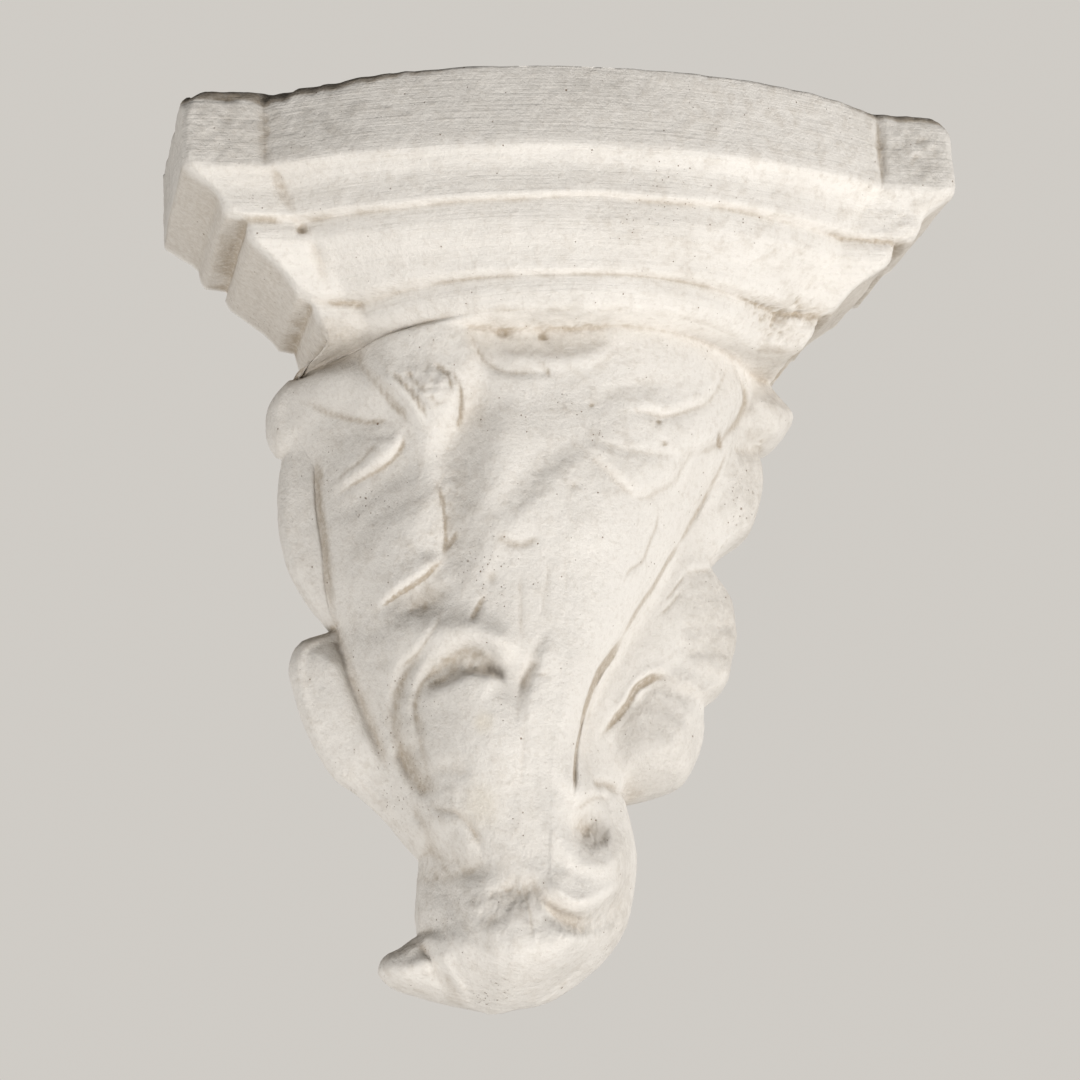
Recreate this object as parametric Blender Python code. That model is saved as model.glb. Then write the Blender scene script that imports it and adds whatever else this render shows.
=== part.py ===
"""A plaster wall bracket: a bow-fronted moulded shelf carried by a rococo leaf that curls forward at its foot.

Lengths are in millimetres and become metres when a vertex is placed. X runs to the right, Z up, and the
wall is the plane Y = 0 with the bracket in front of it, towards -Y. Z = 0 is the level of the fixing point.
"""

import math
from typing import NamedTuple

import bmesh
import bpy
import numpy as np

MM = 0.001

SHELF_WIDTH = 270.0
SHELF_DEPTH = 106.0
BLOCK_DEPTH = 78.0
BOW_WIDTH = 215.0
SHELF_RISE = 75.0
FASCIA_HEIGHT = 27.5
BOW_STEPS = 20

# Lines of the moulding under the fascia: drop below the fascia, then how far the line has stepped in at
# the ends, at the corners of the bow, on the block faces and at the middle of the bow
MOULDING = (
    (0.0, 0.0, 0.0, 0.0, 0.0),
    (4.5, 5.0, 3.0, 2.5, 1.2),
    (9.5, 12.5, 7.5, 5.0, 2.8),
    (13.6, 13.5, 8.0, 5.4, 3.2),
    (15.8, 20.3, 13.0, 7.0, 6.4),
    (21.0, 20.6, 13.4, 7.2, 5.2),
    (24.5, 24.0, 16.0, 9.5, 7.2),
    (30.0, 31.0, 22.5, 15.0, 10.6),
    (36.6, 35.0, 26.5, 18.5, 12.4),
    (39.1, 44.2, 35.0, 25.0, 17.2),
    (41.5, 42.5, 34.0, 24.0, 15.2),
    (45.0, 43.0, 35.0, 25.0, 15.0),
    (48.5, 47.5, 38.0, 29.0, 18.4),
    (50.0, 52.0, 39.5, 33.5, 23.0),
)

LEAF_LENGTH = 227.5
EDGE_ROUND = 7.0
FOOT_ROUND = 22.0
LEAF_ROWS = 74
ROOT_IN_SHELF = 8.0

# The leaf is drawn hanging from a neck of this size at this level, and takes its size from the real neck
DRAWN_LENGTH = 227.5
DRAWN_NECK_WIDTH = 166.0
DRAWN_NECK_DEPTH = 83.0
DRAWN_NECK_LEVEL = -2.5

# Edges of the leaf from the top down, a list for each lobe: (x, z)
LEFT_LOBES = (
    ((-84, 8), (-86, 4), (-90, 0), (-95, -6), (-99, -12), (-100, -19), (-99, -26), (-96, -31)),
    ((-96, -31), (-97, -37), (-97, -62), (-95, -71), (-90, -82), (-84, -91), (-81, -94)),
    ((-81, -94), (-91, -99), (-94, -106), (-93, -116), (-86, -138), (-81, -146), (-74, -151), (-53, -175)),
    ((-53, -175), (-55, -186), (-56, -193), (-54, -200)),
    ((-54, -200), (-59, -204), (-66, -209), (-67, -213), (-64, -219), (-55, -224), (-42, -228), (-32, -230)),
)
RIGHT_LOBES = (
    ((84, 8), (86, 4), (83, -3), (86, -8), (91, -16), (88, -21), (83, -26), (76, -29)),
    ((76, -29), (77, -39), (75, -50), (71, -59), (62, -66), (55, -73)),
    ((55, -73), (63, -86), (64, -96), (61, -108), (59, -115), (51, -122)),
    ((51, -122), (51, -132), (47, -143), (43, -149), (33, -153), (21, -156)),
    ((19, -157), (21, -175), (19, -189), (15, -201), (10, -209), (1, -218), (-10, -226), (-20, -230)),
)
# Where the curled foot stands clear of the leaf tip behind it
BALL_EDGE = ((-56, -185), (-55, -200), (-51, -209), (-46, -217), (-38, -229))


class Station(NamedTuple):
    """A level of the leaf: where its left rib, crown and right rib run, and how deep it is at each."""

    z: float
    left: float
    crown: float
    right: float
    left_depth: float
    crown_depth: float
    right_depth: float


STATIONS = (
    Station(8, -80, 0, 74, 20, 70, 20),
    Station(-15, -85, 0, 70, 18, 70, 24),
    Station(-35, -85, 1, 61, 15, 69, 27),
    Station(-60, -83, -2, 44, 14, 66, 30),
    Station(-80, -80, -3, 33, 14, 63, 31),
    Station(-100, -76, -5, 21, 14, 60, 33),
    Station(-120, -71, -8, 8, 15, 56, 35),
    Station(-145, -63, -13, -1, 16, 52, 38),
    Station(-165, -58, -14, 8, 17, 49, 36),
    Station(-185, -50, -15, 13, 22, 46, 34),
    Station(-205, -46, -18, 6, 26, 47, 32),
    Station(-230, -30, -25, -22, 20, 34, 20),
)


class Stroke(NamedTuple):
    """A line of carving through points (x, z): its kind, half width and rise above the leaf."""

    kind: str
    width: float
    rise: float
    points: tuple


class Swell(NamedTuple):
    """A round swelling, or a hollow where the rise is negative: centre, half sizes and rise."""

    centre: tuple
    reach: tuple
    rise: float


RIBS = (
    Stroke("line", 3.2, -5.0, ((-85, -28), (-84, -45), (-81, -74), (-76, -100), (-67, -131), (-59, -158))),
    Stroke("line", 3.0, -4.0, ((61, -34), (47, -54), (34, -78), (22, -98), (9, -119), (2, -136), (-2, -160))),
    Stroke("line", 2.8, -5.0, ((9, -137), (19, -123), (26, -117), (32, -117), (38, -119))),
)
LEFT_LEAFLETS = (
    Stroke("line", 7.0, 7.0, ((-96, -17), (-84, -14), (-72, -19), (-63, -29))),
    Stroke("fold", 3.5, 3.5, ((-61, -37), (-67, -30), (-77, -25), (-85, -20), (-92, -16))),
    Stroke("fold", 3.5, 4.0, ((-80, -52), (-71, -48), (-62, -43), (-60, -37))),
    Stroke("line", 6.0, 5.0, ((-77, -66), (-72, -58), (-62, -53), (-54, -55))),
    Stroke("fold", 3.5, 5.5, ((-68, -94), (-60, -90), (-53, -85), (-48, -79), (-47, -70), (-49, -55))),
    Stroke("line", 7.0, -5.0, ((-73, -80), (-66, -72), (-57, -66))),
    Stroke("line", 7.0, -6.0, ((-64, -103), (-57, -98), (-51, -94))),
    Stroke("line", 5.0, 3.5, ((-49, -90), (-46, -99), (-49, -109))),
)
SCROLL_END = (
    Stroke("line", 7.0, -6.0, ((-38, -4), (-42, -22), (-46, -44), (-44, -66), (-43, -88))),
    Stroke("line", 4.5, 6.0, ((-63, -19), (-57, -30), (-50, -41))),
    Stroke("line", 4.0, -5.0, ((-69, -16), (-64, -30), (-57, -42))),
)
CENTRE = (
    Stroke("fold", 4.0, 4.0, ((-12, -20), (-18, -23), (-28, -22), (-36, -15), (-42, -4))),
    Stroke("line", 6.5, -8.0, ((-7, -52), (-17, -60), (-27, -70), (-28, -79))),
    Stroke("line", 7.0, 4.0, ((-27, -42), (-34, -62), (-39, -84))),
)
RIGHT_FOLDS = (
    Stroke("fold", 3.5, 4.0, ((58, -2), (55, -12), (48, -21), (38, -28), (22, -32))),
    Stroke("fold", 4.0, 6.0, ((62, -6), (64, -14), (60, -25), (51, -36), (38, -45), (29, -54), (18, -59))),
)
PETAL = (
    Stroke("line", 5.0, -8.0, ((-54, -122), (-47, -118), (-39, -113), (-30, -118), (-22, -124))),
    Stroke("line", 3.5, -7.0, ((-54, -110), (-59, -119), (-61, -128), (-58, -142), (-53, -153), (-49, -164))),
    Stroke("line", 4.0, 3.0, ((-47, -155), (-41, -161), (-37, -171))),
)
FOOT = (
    Stroke("fold", 5.0, 6.0, ((-30, -186), (-21, -189), (-14, -198), (-3, -202), (8, -198), (16, -186))),
    Stroke("line", 5.5, -6.0, ((-36, -199), (-25, -193), (-16, -201), (-4, -206), (9, -200))),
    Stroke("line", 3.0, -2.5, ((-48, -190), (-43, -200), (-33, -213))),
    Stroke("fold", 4.0, -14.0, ((-55, -200), (-51, -209), (-46, -217), (-38, -229))),
)
FLUTES = (
    Stroke("line", 2.6, -2.0, ((42, -96), (53, -99), (62, -98))),
    Stroke("line", 2.6, -2.0, ((39, -101), (50, -107), (60, -107))),
    Stroke("line", 2.6, -2.0, ((36, -105), (46, -113), (56, -115))),
    Stroke("line", 2.6, -2.0, ((33, -124), (42, -129), (50, -130))),
    Stroke("line", 2.6, -2.0, ((30, -129), (38, -137), (46, -140))),
    Stroke("line", 2.6, -2.0, ((25, -134), (31, -143), (37, -149))),
    Stroke("line", 3.0, -3.0, ((56, -72), (50, -76), (44, -82))),
    Stroke("line", 3.0, -3.0, ((76, -30), (68, -33), (61, -33))),
    Stroke("line", 3.0, -3.0, ((-80, -93), (-84, -97), (-90, -100))),
)
SWELLS = (
    Swell((-80, -3), (10, 8), -13.0),
    Swell((-50, -20), (9, 7), 7.0),
    Swell((-12, -7), (20, 7), -8.0),
    Swell((77, -17), (11, 9), 9.0),
    Swell((-37, -145), (18, 24), 9.0),
    Swell((1, -171), (5, 5), -20.0),
    Swell((8, -186), (11, 13), 5.0),
    Swell((-20, -212), (24, 12), 6.0),
)
STROKES = (*RIBS, *LEFT_LEAFLETS, *SCROLL_END, *CENTRE, *RIGHT_FOLDS, *PETAL, *FOOT, *FLUTES)

# Columns of the leaf's grid between its edges, ribs and crown
EDGE_COLUMNS = 4
FLANGE_COLUMNS = 6
BODY_COLUMNS = 20


def smooth_read(at, places, values):
    """The smooth curve through values at increasing places, read at other places."""
    slopes = np.gradient(values, places)
    at = np.clip(at, places[0], places[-1])
    i = np.clip(np.searchsorted(places, at) - 1, 0, len(places) - 2)
    gap = places[i + 1] - places[i]
    t = (at - places[i]) / gap
    start = values[i] * (1 + 2 * t) * (1 - t) ** 2 + slopes[i] * gap * t * (1 - t) ** 2
    end = values[i + 1] * (3 - 2 * t) * t**2 - slopes[i + 1] * gap * t**2 * (1 - t)
    return start + end


def smooth_path(points, steps=6):
    """Points (x, z) joined by a smooth curve, with this many steps between two points."""
    points = np.array(points, float)
    lengths = np.hypot(*np.diff(points, axis=0).T)
    places = np.concatenate([[0.0], np.cumsum(lengths)])
    at = np.interp(np.arange((len(points) - 1) * steps + 1) / steps, np.arange(len(points)), places)
    return np.stack([smooth_read(at, places, points[:, k]) for k in (0, 1)], axis=1)


def edge_line(lobes):
    """One edge of the leaf from the top down, with a corner between two lobes."""
    return np.concatenate([smooth_path(lobe, 4) for lobe in lobes])


def edge_at(line, z):
    """The x of an edge at each level z."""
    falling = np.minimum.accumulate(line[:, 1])
    return np.interp(-z, -falling, line[:, 0])


def nearest_on(x, z, line):
    """Distance of each point to a line, the side it lies on (positive to the left) and its place along it."""
    best = np.full(x.shape, np.inf)
    side = np.zeros(x.shape)
    along = np.zeros(x.shape)
    spans = len(line) - 1
    for n in range(spans):
        (ax, az), (bx, bz) = line[n], line[n + 1]
        dx, dz = bx - ax, bz - az
        t = np.clip(((x - ax) * dx + (z - az) * dz) / (dx * dx + dz * dz + 1e-9), 0, 1)
        off_x, off_z = x - ax - t * dx, z - az - t * dz
        distance = np.hypot(off_x, off_z)
        nearer = distance < best
        best = np.where(nearer, distance, best)
        side = np.where(nearer, np.sign(off_z * dx - off_x * dz), side)
        along = np.where(nearer, (n + t) / spans, along)
    return best, side, along


def carve(stroke, x, z):
    """What one stroke adds to the depth at each point."""
    distance, side, along = nearest_on(x, z, smooth_path(stroke.points))
    fade = np.clip(np.minimum(along, 1 - along) * 6, 0, 1)
    if stroke.kind == "line":
        shape = np.exp(-((distance / stroke.width) ** 2))
    else:
        raised = np.exp(-distance / (3 * stroke.width))
        dropped = np.clip(1 - distance / stroke.width, 0, 1) ** 2
        shape = np.where(side >= 0, raised, dropped)
    return stroke.rise * shape * (0.25 + 0.75 * fade)


def swell(form, x, z):
    """What one swelling adds to the depth at each point."""
    away = np.hypot((x - form.centre[0]) / form.reach[0], (z - form.centre[1]) / form.reach[1])
    return form.rise * np.exp(-(away**2.5))


def leaf_depth(x, z, outline):
    """How far the leaf stands off the wall at each point."""
    levels = np.array(STATIONS[::-1])
    left, crown, right, at_left, at_crown, at_right = (
        smooth_read(z, levels[:, 0], levels[:, k]) for k in range(1, 7)
    )
    across = np.where(x < crown, (crown - x) / (crown - left), (x - crown) / (right - crown))
    rib = np.where(x < crown, at_left, at_right)
    arch = rib + (at_crown - rib) * (1 - np.clip(across, 0, 1) ** 2.2) ** 0.85
    depth = np.where(across > 1, rib - 7 * np.clip(across - 1, 0, 1.2), arch)
    for stroke in STROKES:
        depth = depth + carve(stroke, x, z)
    for form in SWELLS:
        depth = depth + swell(form, x, z)
    rounding = np.interp(-z, (150, 195), (EDGE_ROUND, FOOT_ROUND))
    rounding = np.where(x < edge_at(np.array(BALL_EDGE, float), z), EDGE_ROUND, rounding)
    inward = np.clip(nearest_on(x, z, outline)[0] / rounding, 0, 1)
    return np.maximum(depth, 7) * np.sqrt(1 - (1 - inward) ** 2)


def row_of_x(z):
    """The x of each column of the leaf's grid at one level."""
    left_edge, right_edge = edge_at(edge_line(LEFT_LOBES), z), edge_at(edge_line(RIGHT_LOBES), z)
    levels = np.array(STATIONS[::-1])
    left, crown, right = (smooth_read(z, levels[:, 0], levels[:, k]) for k in (1, 2, 3))
    width = right_edge - left_edge
    turn = 1 - np.cos(np.linspace(0, math.pi / 2, EDGE_COLUMNS + 1))
    rim = min(EDGE_ROUND, 0.1 * width)
    left = np.clip(left, left_edge + 0.15 * width, right_edge - 0.6 * width)
    right = np.clip(right, left_edge + 0.6 * width, right_edge - 0.15 * width)
    crown = np.clip(crown, left + 0.1 * width, right - 0.1 * width)
    return np.concatenate(
        [
            left_edge + rim * turn[:-1],
            np.linspace(left_edge + rim, left, FLANGE_COLUMNS + 1)[:-1],
            np.linspace(left, crown, BODY_COLUMNS + 1)[:-1],
            np.linspace(crown, right, BODY_COLUMNS + 1)[:-1],
            np.linspace(right, right_edge - rim, FLANGE_COLUMNS + 1)[:-1],
            right_edge - rim * turn[::-1],
        ]
    )


def leaf_levels():
    """The z of each row of the leaf's grid, closer together where the foot turns under."""
    share = np.linspace(0, 1, LEAF_ROWS)
    eased = share + 0.035 * np.sin(math.pi * share) * share
    top, foot = DRAWN_NECK_LEVEL + ROOT_IN_SHELF, DRAWN_NECK_LEVEL - DRAWN_LENGTH
    return top + (foot - top) * np.minimum(eased, 1)


def leaf_points():
    """The leaf's grid of points (x, depth, z) as drawn, rows from the top down."""
    levels = leaf_levels()
    x = np.array([row_of_x(z) for z in levels])
    z = np.repeat(levels[:, None], x.shape[1], axis=1)
    outline = np.concatenate([edge_line(LEFT_LOBES), edge_line(RIGHT_LOBES)[::-1]])
    depth = leaf_depth(x, z, outline)
    depth[:, [0, -1]] = 0
    depth[-1] = 0
    top = np.stack([x[:1], np.zeros_like(x[:1]), z[:1]], axis=-1)
    return np.concatenate([top, np.stack([x, depth, z], axis=-1)])


def make_leaf():
    """The leaf: a grid drawn down the front, its rim on the wall, closed by a flat back."""
    points = leaf_points()
    rows, columns = points.shape[:2]
    bm = bmesh.new()
    bmesh.ops.create_grid(bm, x_segments=columns - 1, y_segments=rows - 1, size=1)
    drop, end, _, _, front = MOULDING[-1]
    neck_level = SHELF_RISE - FASCIA_HEIGHT - drop
    across = (SHELF_WIDTH - 2 * end) / DRAWN_NECK_WIDTH
    deep = (SHELF_DEPTH - front) / DRAWN_NECK_DEPTH
    along = LEAF_LENGTH / DRAWN_LENGTH
    for vert in bm.verts:
        column = round((vert.co.x + 1) / 2 * (columns - 1))
        row = round((1 - vert.co.y) / 2 * (rows - 1))
        x, depth, z = points[row, column]
        level = neck_level + (z - DRAWN_NECK_LEVEL) * along
        vert.co = (x * across * MM, -depth * deep * MM, level * MM)
    rim = [edge for edge in bm.edges if edge.is_boundary]
    bmesh.ops.contextual_create(bm, geom=rim)
    bmesh.ops.recalc_face_normals(bm, faces=bm.faces)
    return mesh_object("leaf", bm)


def plan_of_line(line):
    """The shelf's outline at one line of the moulding, from the wall on the left round to the right."""
    drop, end, corner, block, front = line
    half, bow = SHELF_WIDTH / 2 - end, BOW_WIDTH / 2 - corner
    near, far = BLOCK_DEPTH - block, SHELF_DEPTH - front
    rise = far - near
    radius = (bow**2 + rise**2) / (2 * rise)
    turn = math.asin(min(1.0, bow / radius))
    if rise > bow:
        turn = math.pi - turn
    angles = [turn * (2 * n / BOW_STEPS - 1) for n in range(BOW_STEPS + 1)]
    arc = [(radius * math.sin(a), far - radius + radius * math.cos(a)) for a in angles]
    points = [(-half, 0), (-half, near), *arc, (half, near), (half, 0)]
    level = SHELF_RISE - drop
    return [(x * MM, -y * MM, level * MM) for x, y in points]


def make_shelf():
    """The moulded shelf: its plan drawn down from line to line of the moulding."""
    lines = [(0.0, 0.0, 0.0, 0.0, 0.0)] + [(FASCIA_HEIGHT + line[0], *line[1:]) for line in MOULDING]
    bm = bmesh.new()
    order = bm.verts.layers.int.new("order")
    verts = [bm.verts.new(place) for place in plan_of_line(lines[0])]
    for n, vert in enumerate(verts):
        vert[order] = n
    face = bm.faces.new(verts)
    top = bmesh.ops.duplicate(bm, geom=[face])
    face = next(part for part in top["geom"] if isinstance(part, bmesh.types.BMFace))
    for line in lines[1:]:
        grown = bmesh.ops.extrude_face_region(bm, geom=[face])["geom"]
        bmesh.ops.delete(bm, geom=[face], context="FACES_ONLY")
        face = next(part for part in grown if isinstance(part, bmesh.types.BMFace))
        places = plan_of_line(line)
        for vert in face.verts:
            vert.co = places[vert[order]]
    bmesh.ops.remove_doubles(bm, verts=bm.verts, dist=0.00001)
    bmesh.ops.recalc_face_normals(bm, faces=bm.faces)
    return mesh_object("shelf", bm)


def mesh_object(name, bm):
    """A new object in the scene from a finished bmesh."""
    mesh = bpy.data.meshes.new(name)
    bm.to_mesh(mesh)
    bm.free()
    made = bpy.data.objects.new(name, mesh)
    bpy.context.scene.collection.objects.link(made)
    return made


def plaster():
    """Dry cast plaster, warm white."""
    material = bpy.data.materials.new("plaster")
    material.use_nodes = True
    shader = material.node_tree.nodes["Principled BSDF"]
    shader.inputs["Base Color"].default_value = (0.79, 0.74, 0.67, 1)
    shader.inputs["Roughness"].default_value = 0.85
    shader.inputs["Metallic"].default_value = 0.0
    return material


def make_bracket():
    """The whole cast: the leaf joined to the underside of the shelf."""
    bracket = make_shelf()
    bracket.name = "bracket"
    leaf = make_leaf()
    leaf.hide_render = True
    leaf.display_type = "WIRE"
    join = bracket.modifiers.new("join leaf", "BOOLEAN")
    join.operation = "UNION"
    join.object = leaf
    bracket.data.materials.append(plaster())
    return bracket


def clear_scene():
    """Removes whatever the file opened with."""
    for found in list(bpy.data.objects):
        bpy.data.objects.remove(found)


clear_scene()
make_bracket()
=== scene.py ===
"""A plaster wall bracket: a moulded shelf on a rococo leaf, cast in one piece, with its plaster and a stage.

Shapes are drawn in millimetres as (x, depth, z): x to the right, depth out from the wall and z up, with
z = 0 at the fixing point. They become metres when they are placed, with the wall at Y = 0 and the front to -Y.
"""

import math
from typing import NamedTuple

import bmesh
import bpy
import numpy as np
from bpy.props import FloatProperty, FloatVectorProperty, PointerProperty
from mathutils import Matrix, Vector, noise


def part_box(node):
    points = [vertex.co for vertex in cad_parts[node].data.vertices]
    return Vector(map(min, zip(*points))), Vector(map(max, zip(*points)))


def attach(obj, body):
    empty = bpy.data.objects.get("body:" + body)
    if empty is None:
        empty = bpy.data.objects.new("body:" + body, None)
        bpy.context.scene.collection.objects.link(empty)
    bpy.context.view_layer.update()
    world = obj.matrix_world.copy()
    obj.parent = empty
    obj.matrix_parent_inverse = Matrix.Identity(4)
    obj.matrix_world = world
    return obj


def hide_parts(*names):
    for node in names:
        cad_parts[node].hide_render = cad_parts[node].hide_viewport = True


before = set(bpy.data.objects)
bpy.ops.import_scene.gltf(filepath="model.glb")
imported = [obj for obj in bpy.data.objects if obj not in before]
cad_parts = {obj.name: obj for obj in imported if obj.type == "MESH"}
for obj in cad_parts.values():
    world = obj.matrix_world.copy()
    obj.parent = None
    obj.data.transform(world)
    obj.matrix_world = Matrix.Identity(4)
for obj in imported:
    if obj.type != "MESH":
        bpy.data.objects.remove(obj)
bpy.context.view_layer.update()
LOW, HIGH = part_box("bracket")

bl_info = {
    "name": "Plaster Wall Bracket",
    "version": (1, 0, 0),
    "blender": (4, 5, 0),
    "location": "3D View > Sidebar > Bracket",
    "description": "Casts a rococo wall bracket in plaster and sets it on a plain stage",
    "category": "Add Mesh",
}

MM = 0.001

# Lines of the moulding under the fascia: drop below the fascia, then how far the line has stepped in at
# the ends, at the corners of the bow, on the block faces and at the middle of the bow
MOULDING = (
    (0.0, 0.0, 0.0, 0.0, 0.0),
    (1.2, 0.6, 0.4, 0.4, 0.4),
    (3.6, 4.4, 3.0, 2.3, 2.2),
    (6.6, 9.6, 6.0, 3.9, 3.9),
    (9.0, 12.2, 7.6, 4.6, 4.4),
    (13.0, 13.2, 8.6, 5.2, 4.9),
    (15.6, 14.6, 10.0, 5.8, 5.2),
    (16.6, 21.8, 13.6, 8.4, 7.4),
    (17.6, 22.6, 13.8, 8.6, 7.5),
    (20.0, 21.6, 14.0, 8.4, 7.9),
    (23.5, 23.2, 15.2, 9.4, 8.7),
    (28.0, 29.6, 19.6, 12.8, 10.6),
    (32.0, 35.0, 24.0, 16.5, 13.0),
    (36.0, 38.6, 27.0, 19.0, 14.8),
    (38.2, 40.0, 28.5, 20.5, 15.6),
    (39.2, 45.6, 35.0, 25.2, 17.8),
    (40.4, 46.0, 35.2, 25.2, 17.8),
    (44.5, 47.0, 36.0, 26.0, 18.8),
    (48.5, 50.5, 39.0, 29.5, 21.4),
    (50.0, 53.0, 39.5, 33.5, 23.5),
)

# Crevices of the moulding: drop below the fascia, half height, and the brown painted along them, partly dirt and
# partly painted shade
CREVICES = ((16.9, 0.9, 0.5), (39.6, 0.9, 0.5), (50.0, 1.3, 0.35))

# Worn top edge: how far it has gone at each x of a shelf that ends at the last one
TOP_WEAR_AT = (-135, -127, -115, -108, -86, -64, -38, -16, 60, 93, 107, 127, 135)
TOP_WEAR = (5.5, 3.6, 3.8, 5.6, 3.8, 2.2, 0.8, 0.2, 0.3, 1.0, 2.0, 2.4, 4.5)
# The fine raggedness of that edge, its least wear, and how much of the wear the returns have
RAGGED_SCALE = 0.13
RAGGED_SHARE = 0.45
RAGGED_RISE = 0.35
LEAST_WEAR = 0.3
RETURN_WEAR = 0.35
# The inset that the wear of the top edge is measured along, and its share at the corners of the bow
TOP_INSET = 10.0
BOW_INSET_SHARE = 0.8
# Painted shade on the worn top edge, which faces up away from the light, and on the returns, which stand in shade, and
# the depth of wear where the edge's painted shade is full
WORN_EDGE_SHADE = 0.9
RETURN_SHADE = 0.45
FULL_SHADE_WEAR = 3
# How far the lines of the moulding wander up and down
LINE_WANDER = 1.6

# Edges of the leaf from the top down, a list for each lobe: (x, z)
LEFT_LOBES = (
    ((-84, 8), (-86, 4), (-90, 0), (-95, -6), (-99, -12), (-100, -19), (-99, -26), (-96, -31)),
    ((-94.5, -31), (-95.5, -37), (-95.5, -62), (-93.5, -71), (-88, -82), (-81.5, -91), (-79, -94)),
    ((-79, -94), (-91, -99), (-93.5, -106), (-92, -116), (-84, -138), (-79, -146), (-72, -151), (-51, -174)),
    ((-51, -174), (-52, -186), (-52.5, -193), (-52, -200)),
    ((-52, -200), (-58, -204), (-65, -209), (-65.5, -212), (-62.5, -216), (-54, -219.5), (-42, -223), (-29, -225.6)),
)
RIGHT_LOBES = (
    ((84, 8), (86, 4), (83, -3), (86, -8), (91, -16), (88, -21), (83, -26), (76, -29)),
    ((76, -29), (77, -39), (75, -50), (71, -59), (62, -66), (55, -73)),
    ((55, -73), (63, -86), (64, -96), (61, -108), (59, -115), (51, -122)),
    ((51, -122), (51, -132), (47, -143), (43, -149), (33, -153), (21, -156)),
    ((20, -157), (24, -175), (22, -189), (18, -201), (12, -209), (2, -217), (-10, -223.4), (-24, -225.6)),
)
# Where the curled foot stands clear of the leaf tip behind it
BALL_EDGE = ((-56, -185), (-55, -200), (-51, -209), (-46, -217), (-38, -229))


class Station(NamedTuple):
    """A level of the leaf: where its left rib, crown and right rib run, and how deep it is at each."""

    z: float
    left: float
    crown: float
    right: float
    left_depth: float
    crown_depth: float
    right_depth: float


STATIONS = tuple(
    Station(*row)
    for row in (
        (8, -82, 0, 74, 18, 70, 20),
        (-13, -94, 0, 70, 15, 70, 24),
        (-27, -90, 1, 65, 15, 69, 26),
        (-38, -85, 1, 60, 15, 69, 27),
        (-60, -83, -2, 44, 14, 66, 30),
        (-80, -80, -3, 33, 14, 63, 31),
        (-100, -76, -5, 21, 14, 60, 33),
        (-120, -71, -8, 8, 15, 56, 35),
        (-145, -63, -13, -1, 16, 52, 38),
        (-165, -58, -14, 8, 17, 49, 36),
        (-185, -50, -15, 13, 22, 46, 34),
        (-205, -46, -18, 6, 26, 47, 32),
        (-230, -30, -25, -22, 20, 34, 20),
    )
)


class Stroke(NamedTuple):
    """A line of carving through points (x, z): its kind, half width, rise above the leaf, and dirt, which is partly
    painted shade.
    """

    kind: str
    width: float
    rise: float
    dirt_and_shade: float
    points: tuple


def groove(width, rise, dirt_and_shade, *points):
    """A rounded line, sunk where its rise is negative."""
    return Stroke("groove", width, rise, dirt_and_shade, points)


def cut(width, rise, dirt_and_shade, *points):
    """A line with steep sides and a flat floor."""
    return Stroke("cut", width, rise, dirt_and_shade, points)


def fold(width, rise, dirt_and_shade, *points):
    """A step that is high on the left of its line, with a crease at its foot."""
    return Stroke("fold", width, rise, dirt_and_shade, points)


class Swell(NamedTuple):
    """A round swelling, or a hollow where the rise is negative: centre, half sizes, rise, turn, and dirt, which is
    partly painted shade.
    """

    centre: tuple
    reach: tuple
    rise: float
    turn: float = 0.0
    dirt_and_shade: float = 0.0


class Facet(NamedTuple):
    """A raised or sunken region inside points (x, z): its rise and the width of its edge."""

    rise: float
    edge: float
    points: tuple


class Patch(NamedTuple):
    """A marked place on the cast: centre, half sizes and turn, then what it has there."""

    centre: tuple
    reach: tuple
    turn: float = 0.0
    dent: float = 0.0
    rough: float = 0.0
    brown_dirt_and_shade: float = 0.0
    grey_smudge_and_shade: float = 0.0
    yellow: float = 0.0
    holes: float = 0.0


# The dirt number of each stroke and swell paints brown into its line or hollow: partly dirt, partly painted shade of
# troughs, notches and overhangs
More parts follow.
